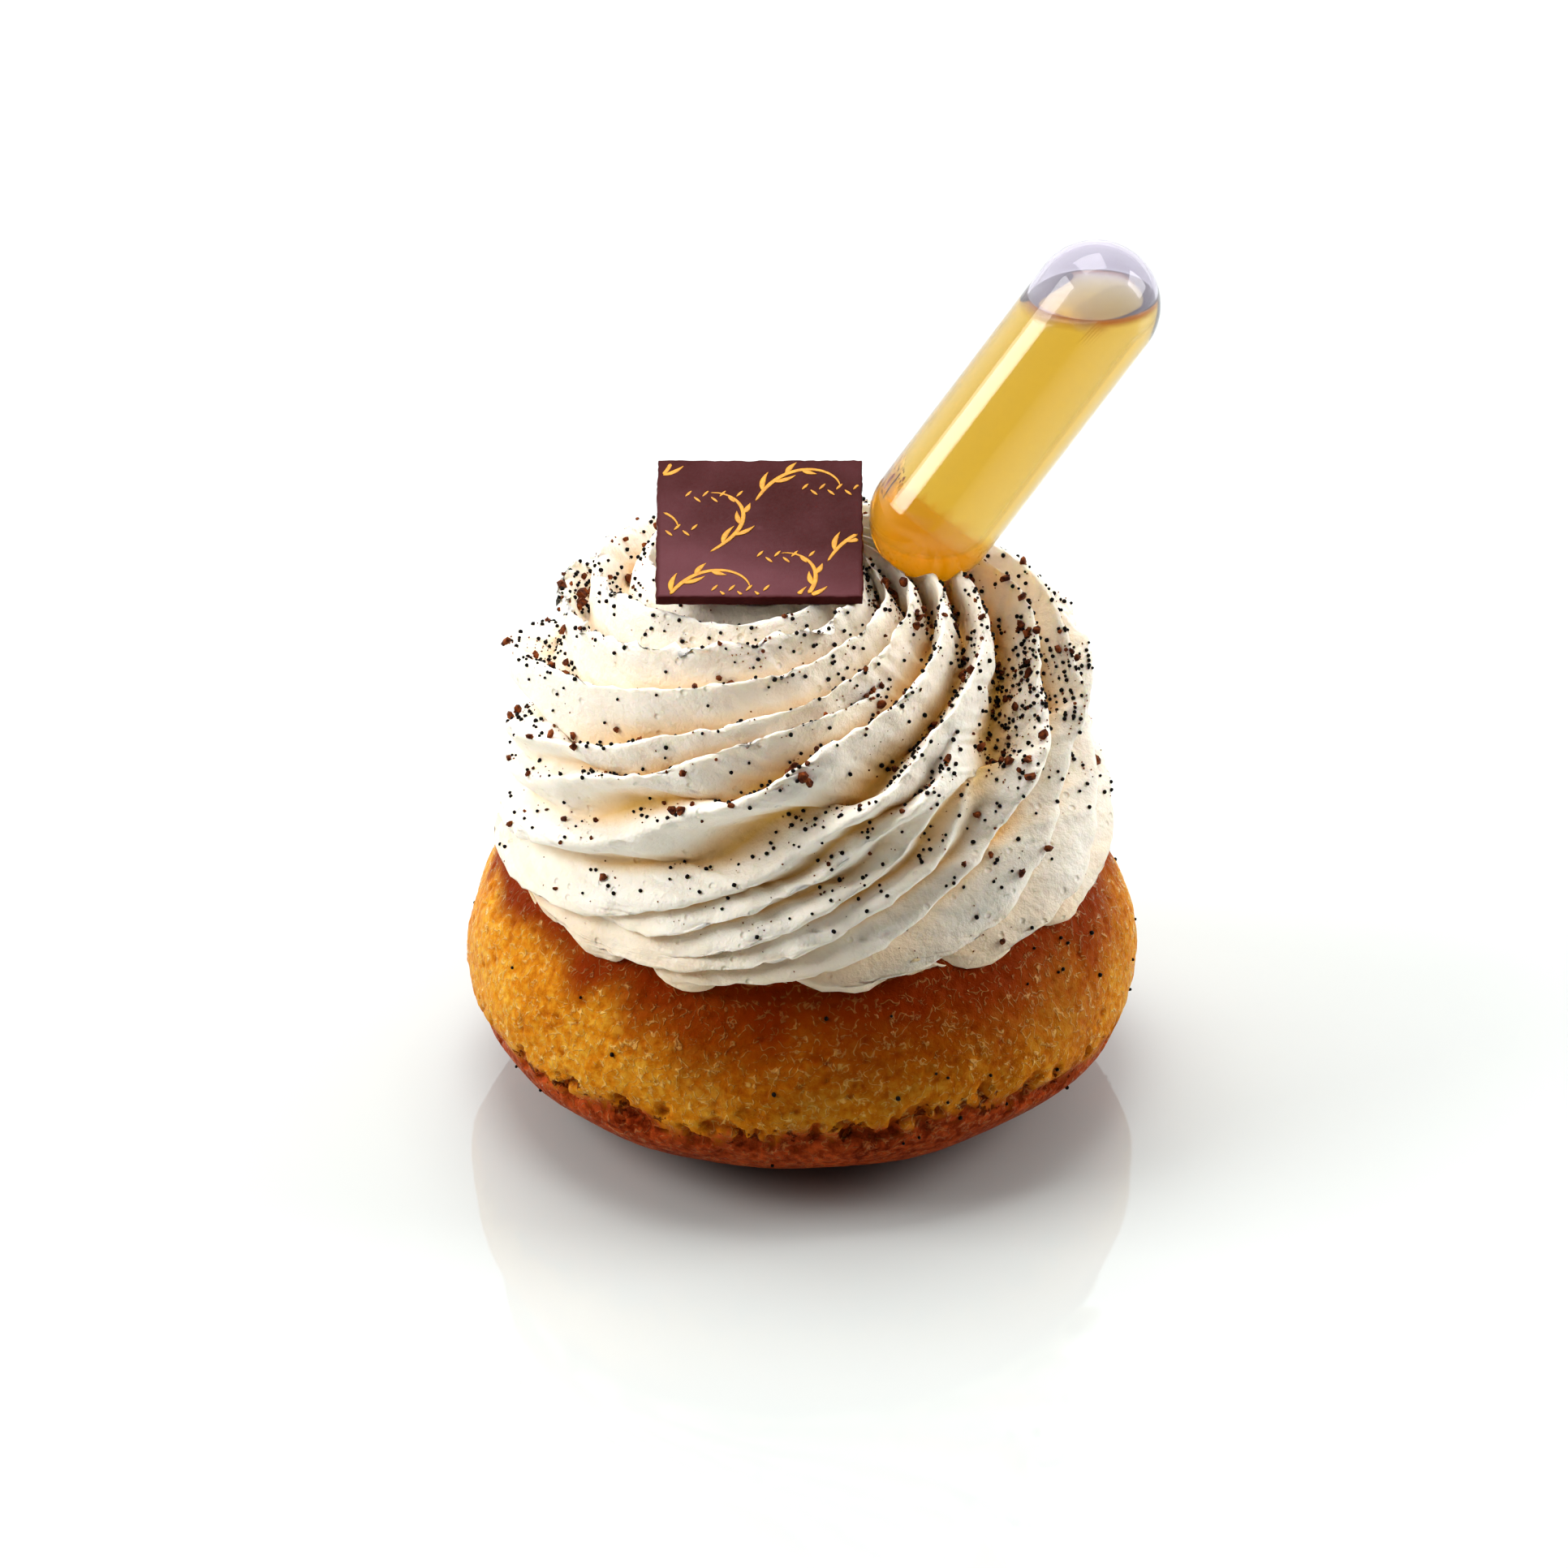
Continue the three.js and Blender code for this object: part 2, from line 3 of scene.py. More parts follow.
import bpy
import numpy as np
from bpy.props import FloatProperty, FloatVectorProperty, IntProperty, PointerProperty
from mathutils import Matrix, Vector


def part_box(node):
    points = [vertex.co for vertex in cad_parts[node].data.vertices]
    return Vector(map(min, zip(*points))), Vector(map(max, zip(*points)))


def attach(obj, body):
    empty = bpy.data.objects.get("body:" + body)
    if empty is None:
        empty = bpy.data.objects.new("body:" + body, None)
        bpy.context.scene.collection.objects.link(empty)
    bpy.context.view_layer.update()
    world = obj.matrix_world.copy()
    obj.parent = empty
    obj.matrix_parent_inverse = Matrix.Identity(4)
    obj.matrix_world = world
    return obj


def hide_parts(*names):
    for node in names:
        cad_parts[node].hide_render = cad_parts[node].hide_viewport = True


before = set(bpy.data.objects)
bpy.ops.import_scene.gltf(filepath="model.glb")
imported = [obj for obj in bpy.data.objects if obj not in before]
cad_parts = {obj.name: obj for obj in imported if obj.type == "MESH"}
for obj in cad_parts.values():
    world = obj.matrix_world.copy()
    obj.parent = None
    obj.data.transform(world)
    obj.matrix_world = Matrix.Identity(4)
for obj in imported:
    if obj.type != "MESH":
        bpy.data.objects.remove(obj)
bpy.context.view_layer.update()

bl_info = {
    "name": "Rum baba",
    "version": (1, 0, 0),
    "blender": (4, 5, 0),
    "location": "3D View > Sidebar > Rum baba",
    "description": "Soaked cake with a piped cream swirl, a chocolate plaque and a pipette of rum",
    "category": "Object",
}

# Shapes are worked out in millimetres, and meshes are made in metres
MM = 0.001
# Cells along each side of the lattices that noise is drawn on, after which they repeat
LATTICE_SIDE = 61
# Points that a curve gets for each one it is drawn through, before they are spaced evenly
CURVE_STEPS = 60
# Least length that anything is divided by
TINY = 1e-9

# Cake: a rounded foot, the widest belt, then a shoulder that closes to a flat top
CAKE_RADIUS = 38.3
CAKE_FOOT_RADIUS = 15.0
CAKE_BELT_HEIGHT = 13.6
CAKE_TOP_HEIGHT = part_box("cake")[1].z / MM
CAKE_SHOULDER_RISE = 28.0
CAKE_PROFILE_STEPS = 300
CAKE_ROWS = 188
CAKE_COLUMNS = 520
# Uneven rise of the dough: waves round the cake, climb for each millimetre, start and height
CAKE_LUMPS = ((3, 0.0, 0.9, 0.21), (7, 0.31, 2.1, 0.175), (13, -0.52, 0.4, 0.12))
CAKE_LUMPS_FULL_HEIGHT = 3.0
# Torn lip where the dark crust starts: its height and the waves of that, its width, its depth and the waves
# of that, and the height over which it sets in
LIP_HEIGHT = 10.1
LIP_WAVES = ((1, math.pi, 1.4), (5, 1.2, 0.5), (11, 0.0, 0.35))
LIP_WIDTH = 1.3
LIP_DEPTH = 0.48
LIP_DEPTH_CHANGE = 0.32
LIP_DEPTH_WAVES = 9
LIP_DEPTH_START = 2.0
LIP_FROM_FLOOR = 0.5
# Crumb: the grain of the dough and its open pores, and the share of each that is left in the crust
GRAIN_SIZE, GRAIN_FINE, GRAIN_RELIEF, GRAIN_IN_CRUST = 1.0, 0.6, 0.12, 0.25
PORE_SPACING, PORE_DEPTH, PORE_IN_CRUST = 1.5, 0.3, 0.15
PORE_RADIUS, PORE_RADIUS_CHANGE = 0.25, 0.5
# Larger holes in a ragged band along the torn lip, where noise passes a limit, and fewer of them at the back
TEAR_SIZE, TEAR_FINE, TEAR_DEPTH = 1.7, 0.5, 0.9
TEAR_BAND, TEAR_RAGGED, TEAR_ABOVE_LIP = 3.0, 1.3, 0.9
TEAR_FROM, TEAR_TO, TEAR_OFF_BAND = 0.02, 0.4, 0.75
TEAR_AT_BACK, TEAR_FRONT_FROM, TEAR_FRONT_TO = 0.3, -0.1, 0.75
# Heights between which grain, pores and holes set in over the flat foot
RELIEF_FROM, RELIEF_TO = 0.2, 1.5
# Height over the lip at which crumb turns to crust, and half the stretch over which it does
CRUST_ABOVE_LIP = 0.9
CRUST_BLEND = 3.0
# Syrup has darkened the cake to a depth below its top, and painted shade from the cream's overhang darkens
# the same band; it fades out below that: over what height, over how much more at the front, where more shade
# is painted, the bearing of that front's middle, and the cosines of the turn from it between which that sets
# in
SYRUP_AND_SHADE_BELOW_TOP = 3.5
SYRUP_AND_SHADE_TOP = CAKE_TOP_HEIGHT - SYRUP_AND_SHADE_BELOW_TOP
SYRUP_AND_SHADE_REACH = 4.5
SHADE_REACH_FRONT = 14.0
SHADED_FRONT_BEARING = math.radians(-64)
SHADED_FRONT_FROM, SHADED_FRONT_TO = 0.2, 1.0
# Streaks of syrup: their reach, their size, and how much of it they keep in height
SYRUP_STREAKS, SYRUP_STREAK_SIZE, SYRUP_STREAK_HEIGHT = 2.2, 3.2, 0.4

# Cream: the meridian that the ridge crests touch, as radius and height
SWIRL_MERIDIAN = np.array([
    (32.4, 27.0), (34.6, 27.4), (35.1, 31.2), (34.8, 36.0), (34.2, 40.5), (33.6, 44.0), (34.4, 49.4),
    (32.4, 53.2), (29.4, 57.0), (26.0, 60.2), (21.8, 62.8), (17.0, 64.4), (10.5, 65.4), (4.0, 65.7),
])
SWIRL_PEAK = 65.8
SWIRL_FLOOR = 29.0
SWIRL_ROWS = 308
RIDGE_COLUMNS = 20
# Ridge crests round the swirl: the phase of each one, in degrees
RIDGE_PHASES = np.array([-222, -196, -169, -146, -135, -116, -90, -80, -68, -57, -43, -10, 23, 50, 78, 107.0])
# Valleys that join to one: the first and the last, counted from the first crest, where they start to join
# and where they have done so, on the way up or, for the first row, down, and how deep they are then
JOINS = ((6, 8, 9.5, 7.3, 4.6), (7, 9, 15.0, 25.0, 6.6), (6, 9, 24.0, 33.0, 6.6), (3, 4, 34.0, 42.0, 6.6))
# Share of the points across a ridge that lie on the near side of its valley
VALLEY_SAMPLE = 0.4
# Valleys are deeper by a power of a ridge's width, up to a limit, and shallower near the cake
RIDGE_DEPTH_LIMIT = 6.6
RIDGE_USUAL_WIDTH = 21.0
RIDGE_WIDTH_POWER = 0.6
RIDGE_LOW_GAIN = 0.75
# Curves of a ridge's two sides, a short ledge and a long face
LEDGE_POWER = 0.85
FACE_ROUNDING = 0.6
FACE_POWER = 1.5
# Ridges near the cake bulge like lobes
LOBE_POWER = 2.4
# Crests hang down near the cake and stand up near the top
LEAN_FROM, LEAN_TO = 8.0, 24.0
LEAN_SHARE = 0.45
VALLEY_MIDDLE = 0.52
VALLEY_LEAN = 0.27
# Turn of the ridges up the meridian, as way and degrees, and the uneven speed of the hand
TWIST = np.array([(5, -1), (9, 28), (18, 59), (31, 92), (45, 155), (70, 330)])
HAND_DRIFT = 28.0
HAND_DRIFT_AT = 5.0
# Newton's steps that find an angle from its phase
ANGLE_STEPS = 24
# The cream's edge on the cake is a row of round lobes: its rise where they meet, its rounding, and the way up
# over which the rise sets in and ends
LOBE_RISE = 4.2
LOBE_ROUNDING = 2.4
LOBE_FOOT = 1.0
LOBE_REACH = 7.0
# Slow waves round the swirl: their height, then the number round and the climb for each millimetre
SWIRL_WOBBLE = 0.45
WOBBLE_WAVES = ((3, 0.21), (5, -0.33))
# Radii between which the ridges fade out towards the middle
RIDGE_FADE_FROM, RIDGE_FADE_TO = 13.0, 4.0
# The last turn of the nozzle ends a little behind the middle
TAIL_HEIGHT = 3.0
TAIL_PLACE = np.array((-4.0, 6.0))
TAIL_SPREAD = 5.5
TAIL_STARTS_ABOVE, TAIL_FULL_ABOVE = 50.0, 60.0
# Whipped texture: soft lumps, large and small
LUMP_SIZE, LUMP_RELIEF = 3.0, 0.22
GRAIN_LUMP_SIZE, GRAIN_LUMP_RELIEF = 1.3, 0.12
# Pull marks across the ridges, drawn as on a drum of the given radius, and fainter on the crests
PULL_ALONG, PULL_SQUEEZE, PULL_ACROSS, PULL_RELIEF = 1.5, 2.6, 5.0, 0.18
PULL_DRUM_RADIUS, PULL_ON_CREST = 20.0, 0.4
# Nicks and ragged tears on the crests, and the shares of a valley's depth between which a crest ends
NICK_SIZE, NICK_DEPTH, NICK_FROM, NICK_TO = 2.2, 0.6, 0.15, 0.75
CREST_RAGGED, RAGGED_SIZE, RAGGED_FINE = 0.3, 1.4, 0.6
CREST_FROM, CREST_TO = 0.3, 0.05
# One crest near the top is badly torn: its phase, the phases either side that it takes in, and how much more
TORN_PHASE, TORN_SPREAD, TORN_GAIN = -196.0, 7.0, 2.2
# Burst bubbles: not every spot that is drawn has one
BUBBLE_SPACING, BUBBLE_RADIUS, BUBBLE_DEPTH = 3.4, 0.6, 0.5
BUBBLE_DRAW_FROM, BUBBLE_DRAW_TO = 0.4, 0.6
# Way up from the cake over which the texture sets in
SKIN_STARTS = 1.5
# Gap between the cream and what is pressed into it
PRESS_GAP = 0.03
# Times that each point across the ridges is drawn to its neighbours, which rounds the crests
CREST_ROUNDING = 5
# Next to the cake the cream takes on some of its golden light: how much, and how far up the meridian
LOW_WARMTH = 0.56
LOW_WARMTH_REACH = 22.0
# Hollows that open to the left, where most light comes in, stay paler: the middle of that side, the cosines
# of the turn from it between which that sets in, and by how much
PALE_BEARING = math.radians(186)
PALE_FROM, PALE_TO, PALE_SHARE = 0.7, 0.95, 0.5

# Specks on the cream: more of them on what faces up, lies high and lies to the right. Each row gives where
# that sets in, where it is full, and what is left elsewhere
SPECKS_UP_FROM, SPECKS_UP_TO, SPECKS_UP_ELSEWHERE = -0.1, 0.6, 0.04
SPECKS_HIGH_FROM, SPECKS_HIGH_TO, SPECKS_HIGH_ELSEWHERE = 32.0, 54.0, 0.08
SPECKS_RIGHT_FROM, SPECKS_RIGHT_TO, SPECKS_RIGHT_ELSEWHERE = -12.0, 26.0, 0.75
# Clumps: their size, the draw that all kinds share, and how strong they are for each kind
CLUMP_SIZE, CLUMP_SEED = 4.5, 81
SEED_CLUMPS, CRUMB_CLUMPS, DUST_CLUMPS = 1.3, 1.5, 2.0
# Specks stay clear of the plaque and the pipette by a margin, and below the plaque's middle by a depth
SPECK_MARGIN, UNDER_PLAQUE = 0.6, 2.5
# Seeds on the cake's side: from the foot up, up to the cream, and fewer at the left
CAKE_SEEDS_FOOT, CAKE_SEEDS_TOP = (1.5, 4.0), (28.0, 25.0)
CAKE_SEEDS_RIGHT, CAKE_SEEDS_LEFT = (-10.0, 22.0), 0.25
# Sizes of the specks: shares of a seed's mean radius, of a crumb's largest one, and the radius of dust
SEED_SIZES = (0.75, 1.3)
CRUMB_LEAST, CRUMB_POWER = 0.3, 2.2
DUST_SIZES = (0.08, 0.2)
# Height of a speck's middle over the skin, as a share of its radius
SEED_LIFT, CRUMB_LIFT, DUST_LIFT = 0.45, 0.4, 0.3
# Form of the specks: rings and points of the ball, its least stretch, and how uneven it is
SEED_FORM = {"rings": 3, "around": 6, "stretch": 0.8, "rough": 0.06}
CRUMB_FORM = {"rings": 3, "around": 6, "stretch": 0.45, "rough": 0.28}
DUST_FORM = {"rings": 1, "around": 4, "stretch": 0.5, "rough": 0.2}

# Plaque, tipped to the front
PLAQUE_SIDE = 23.0
PLAQUE_THICKNESS = 1.2
PLAQUE_BEVEL = 0.2
PLAQUE_TIP = math.radians(14.7)
PLAQUE_CENTRE = np.array((-4.6, -1.0, 68.0))
PLAQUE_EDGE_COLUMNS = 72
PLAQUE_FACE_ROWS = 26
PLAQUE_FIRST_RING = 0.04
PLAQUE_BEVEL_ROWS, PLAQUE_SIDE_ROWS = 5, 7
# Cut sides are ragged, coarse and fine, over a narrow rim, and set back so that the slab keeps its size
CUT_COARSE, CUT_COARSE_SIZE, CUT_FINE, CUT_FINE_SIZE = 0.1, 1.3, 0.07, 0.5
CUT_BACK, CUT_RIM = 0.1, 0.6
PLAQUE_WAVE, PLAQUE_WAVE_SIZE = 0.035, 5.5
# Painted sheen: a light's reflection is painted as paler bloom that grows towards the front, slanted to the
# left; in the middle of the top it is half grown
SHEEN_FROM, SHEEN_TO, SHEEN_SLANT, SHEEN_MIDDLE = -0.5, 1.3, 0.45, 0.5
# Print: strokes with an oval section of so many sides, its middle a share of its thickness over the chocolate
STROKE_SIDES, STROKE_LIFT, STROKE_LEAST = 8, 0.4, 0.03
PRINT_THICKNESS, PRINT_MARGIN, PRINT_LEAST_POINTS = 0.035, 0.45, 6
# Sprigs stand on a slanted lattice, and every second one is flipped
SPRIG_FIRST, SPRIG_ACROSS, SPRIG_UP = np.array([(-5.5, -4.0), (13.0, -1.6), (5.0, 8.4)])
SPRIG_STEPS = range(-2, 3)
SPRIG_HEADING, SPRIG_FLIPPED_HEADING, SPRIG_LENGTH, SPRIG_CURL = 40, 66, 13.5, 8.0
# Stem: its points, the shares of the curl at both ends, and its width, skew and power
STEM_POINTS, STEM_CURLS, STEM_SWELL = 36, (0.2, 2.6), (0.24, 0.7, 0.6)
# Leaves: the points of the stem that they grow from, their turn, length, loss of length, curls and width
LEAF_ROOTS, LEAF_POINTS, LEAF_TURN = (5, 10, 15, 20), 20, 44
LEAF_LENGTH, LEAF_LOSS, LEAF_CURLS, LEAF_SWELL = 3.4, 0.5, (16, 10), (0.3, 0.8, 1.2)
# Rows of small leaves beside the sprigs: where they start, and the leaves' slant, length, curl and width
ROW_PLACE, ROW_FLIP, ROW_LEAVES, ROW_SPACING = np.array((5.2, 0.6)), 1.4, 7, 0.95
ROW_POINTS, ROW_SLANT, ROW_LENGTH, ROW_CURL, ROW_WIDTH = 12, 52, 1.25, 10, 0.15

# Pipette: a thin clear capsule with a narrow stem below, leaning to the right
PIPETTE_LOW = np.array((14.7, 2.0, 68.3))
PIPETTE_HIGH = np.array((32.4, 6.0, 92.5))
PIPETTE_RADIUS = 7.2
PIPETTE_WALL = 0.55
PIPETTE_COLUMNS = 128
PIPETTE_ARC_STEPS = 40
PIPETTE_STRAIGHT_STEPS = 14
STEM_RADIUS = 1.8
STEM_BORE_RADIUS = 1.0
STEM_LENGTH = 12.0
# The drink reaches just into the wall, stands a little over the capsule's straight part, and climbs the wall
# at its level
RUM_INTO_WALL = 0.06
RUM_OVER_STRAIGHT = 0.9
RUM_LEVEL = PIPETTE_HIGH[2] + RUM_OVER_STRAIGHT
MENISCUS_HEIGHT = 0.35
MENISCUS_REACH = 0.6
MENISCUS_BAND = 0.9
# Half the width of the line at which the foot's dome starts
DOME_EDGE = 0.25
# Rings of the drink: up the wall, over the outer share of its level, and over the rest to the middle
RUM_WALL_ROWS, RUM_RIM_ROWS, RUM_LEVEL_ROWS = 70, 12, 8
RUM_RIM_SHARE = 0.3
RUM_FIRST_RING = 0.02

# Stage, in metres: a wide floor just under the foot, and square lamps with their places and sides
FLOOR_HALF, FLOOR_DROP = 3.0, 0.00005
LAMPS = {"key": ((-0.88, -0.14, 0.62), 0.6), "rim": ((0.9, 0.15, 0.5), 0.5), "top": ((-0.1, 0.3, 1.1), 0.7)}
# What the lamps and the camera look at, and the width of the camera's sensor in millimetres
LAMP_TARGET = Vector((0, 0, 0.045))
CAMERA_TARGET = Vector((-1.9, 0, 35.5)) * MM
SENSOR_WIDTH = 36
# Directions between which the sky grows from its strength in front to that behind
SKY_FRONT, SKY_BACK = -0.5, 0.7


def linear(hex_colour):
    """Linear colour of an sRGB hex value: each channel over 12.92 if dark, else a 2.4 power curve."""
    channels = np.array([int(hex_colour[i:i + 2], 16) for i in (1, 3, 5)]) / 255
    curve = np.where(channels <= 0.04045, channels / 12.92, ((channels + 0.055) / 1.055) ** 2.4)
    return (*curve.tolist(), 1.0)


def colour_property(name, description, hex_colour):
    """A colour that a user can change, given as an sRGB hex value."""
    return FloatVectorProperty(
        name=name, description=description, subtype="COLOR", size=4, min=0, max=1, default=linear(hex_colour)
    )


def length_property(name, description, millimetres):
    """A length that a user can change, given in millimetres and kept in metres."""
    return FloatProperty(
        name=name, description=description, unit="LENGTH", default=millimetres * MM, precision=5
    )


def count_property(name, description, count):
    """A number of pieces that a user can change."""
    return IntProperty(name=name, description=description, default=count, min=0)


def smooth_step(low, high, value):
    """0 up to low, 1 from high on, and 3t² - 2t³ of the share t between; falls where low is larger."""
    share = np.clip((value - low) / (high - low), 0, 1)
    return share * share * (3 - 2 * share)


def at_least(least, share):
    """The share, with its range from 0 to 1 squeezed to one from the least value to 1."""
    return least + (1 - least) * share


def running_total(values):
    """Sums of the values so far, starting with 0."""
    return np.concatenate([np.zeros_like(values[:1]), np.cumsum(values, axis=0)])


def lattice_noise(points, spacing, seed):
    """Soft noise from -1 to 1: random values on a cubic lattice, blended by smooth steps on each axis."""
    lattice = np.random.default_rng(seed).uniform(-1, 1, (LATTICE_SIDE,) * 3)
    scaled = points / spacing
    cell = np.floor(scaled).astype(int)
    share = smooth_step(0, 1, scaled - cell)
    total = np.zeros(points.shape[:-1])
    for corner in np.ndindex(2, 2, 2):
        weight = np.prod(np.where(corner, share, 1 - share), axis=-1)
        index = (cell + corner) % LATTICE_SIDE
        total += weight * lattice[index[..., 0], index[..., 1], index[..., 2]]
    return total


def two_noises(points, spacing, fine, seeds):
    """Soft noise, plus a share of another one that is half as coarse."""
    return lattice_noise(points, spacing, seeds[0]) + fine * lattice_noise(points, spacing / 2, seeds[1])


def nearest_spot(points, spacing, seed):
    """Distance to the nearest of random spots, one in each cell of a lattice, and its draw from 0 to 1."""
    spots = np.random.default_rng(seed).uniform(0, 1, (LATTICE_SIDE,) * 3 + (4,))
    scaled = points / spacing
    cell = np.floor(scaled).astype(int)
    nearest = np.full(points.shape[:-1], np.inf)
    draw = np.zeros(points.shape[:-1])
    for shift in np.ndindex(3, 3, 3):
        corner = cell + shift - 1
        index = corner % LATTICE_SIDE
        spot = spots[index[..., 0], index[..., 1], index[..., 2]]
        gap = np.linalg.norm(corner + spot[..., :3] - scaled, axis=-1)
        draw = np.where(gap < nearest, spot[..., 3], draw)
        nearest = np.minimum(gap, nearest)
    return nearest * spacing, draw


def even_curve(points, count):
    """Points at even steps along a Catmull-Rom curve through the given ones, and their way along it."""
    padded = np.vstack([2 * points[0] - points[1], points, 2 * points[-1] - points[-2]])
    place = np.linspace(0, len(points) - 1, CURVE_STEPS * len(points))
    part = np.minimum(place.astype(int), len(points) - 2)
    t = (place - part)[:, None]
    before, start, end, after = (padded[part + k] for k in range(4))
    cubic = t * (3 * (start - end) + after - before)
    curve = start + 0.5 * t * (end - before + t * (2 * before - 5 * start + 4 * end - after + cubic))
    way = running_total(np.linalg.norm(np.diff(curve, axis=0), axis=1))
    even = np.linspace(0, way[-1], count)
    return even, np.stack([np.interp(even, way, column) for column in curve.T], axis=1)


def grid_normals(grid):
    """Outward unit normals of a grid whose columns close: the cross product of its two differences."""
    across = np.roll(grid, -1, axis=1) - np.roll(grid, 1, axis=1)
    along = np.gradient(grid, axis=0)
    normal = np.cross(across, along)
    return normal / np.maximum(np.linalg.norm(normal, axis=-1, keepdims=True), TINY)


def closed_faces(rows, columns):
    """Quads of a grid whose columns close, and triangles to a pole point beyond each end row."""
    row, column = np.meshgrid(np.arange(rows - 1), np.arange(columns), indexing="ij")
    low = row * columns + column
    low_next = row * columns + (column + 1) % columns
    quads = np.stack([low, low_next, low_next + columns, low + columns], axis=-1).reshape(-1, 4)
    edge = np.arange(columns)
    edge_next = (edge + 1) % columns
    first, last, top = rows * columns, rows * columns + 1, (rows - 1) * columns
    first_cap = np.stack([np.full(columns, first), edge_next, edge], axis=-1)
    last_cap = np.stack([np.full(columns, last), top + edge, top + edge_next], axis=-1)
    return [quads, np.vstack([first_cap, last_cap])]


def closed_points(grid, first_pole, last_pole):
    """Points of a closed grid in one list, with its two poles at the end."""
    return np.vstack([grid.reshape(-1, 3), first_pole, last_pole])


def add_piece(name, points, faces, material, replaced=None, attributes=None, smooth=True):
    """Makes a mesh in place from arrays in millimetres, and rides it on the frame's one body."""
    mesh = bpy.data.meshes.new(name)
    sizes = np.concatenate([np.full(len(part), part.shape[1]) for part in faces])
    corners = np.concatenate([part.ravel() for part in faces])
    mesh.vertices.add(len(points))
    mesh.vertices.foreach_set("co", (points * MM).astype(np.float32).ravel())
    mesh.loops.add(len(corners))
    mesh.loops.foreach_set("vertex_index", corners.astype(np.int32))
    mesh.polygons.add(len(sizes))
    mesh.polygons.foreach_set("loop_start", (np.cumsum(sizes) - sizes).astype(np.int32))
    mesh.polygons.foreach_set("use_smooth", np.full(len(sizes), smooth))
    for key, values in (attributes or {}).items():
        mesh.attributes.new(key, "FLOAT", "POINT").data.foreach_set("value", values.astype(np.float32))
    mesh.update(calc_edges=True)
    if mesh.validate():
        raise RuntimeError(f"{name} has a face that is not whole")
    mesh.materials.append(material)
    piece = bpy.data.objects.new(name, mesh)
    bpy.context.scene.collection.objects.link(piece)
    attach(piece, "root")
    if replaced:
        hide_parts(replaced)


def add_node(tree, kind, inputs=None, stops=(), **settings):
    """Adds one shader node with its settings and colour stops. An input is a value, or a node and the name
    of its output to link from."""
    node = tree.nodes.new("ShaderNode" + kind)
    for key, value in settings.items():
        setattr(node, key, value)
    for key, value in (inputs or {}).items():
        if isinstance(value, tuple) and isinstance(value[0], bpy.types.Node):
            tree.links.new(value[0].outputs[value[1]], node.inputs[key])
        else:
            node.inputs[key].default_value = value
    for k, (place, colour) in enumerate(stops):
        ramp = node.color_ramp.elements
        stop = ramp[k] if k < len(ramp) else ramp.new(place)
        stop.position = place
        stop.color = colour
    return node


def new_material(name):
    """An empty material and its node tree."""
    material = bpy.data.materials.new(name)
    material.use_nodes = True
    tree = material.node_tree
    tree.nodes.clear()
    return material, tree


# Cake


def cake_side(rows):
    """Radius and height of the cake's side at even steps: a quarter ellipse from the foot to the belt,
    then the start of a taller one that ends at the flat top."""
    end = math.asin((CAKE_TOP_HEIGHT - CAKE_BELT_HEIGHT) / CAKE_SHOULDER_RISE)
    low = np.linspace(0, math.pi / 2, CAKE_PROFILE_STEPS)
    high = np.linspace(0, end, CAKE_PROFILE_STEPS)[1:]
    radius = np.concatenate([
        CAKE_FOOT_RADIUS + (CAKE_RADIUS - CAKE_FOOT_RADIUS) * np.sin(low), CAKE_RADIUS * np.cos(high)
    ])
    height = np.concatenate([
        CAKE_BELT_HEIGHT * (1 - np.cos(low)), CAKE_BELT_HEIGHT + CAKE_SHOULDER_RISE * np.sin(high)
    ])
    way = running_total(np.hypot(np.diff(radius), np.diff(height)))
    even = np.linspace(0, way[-1], rows)
    return np.interp(even, way, radius), np.interp(even, way, height)


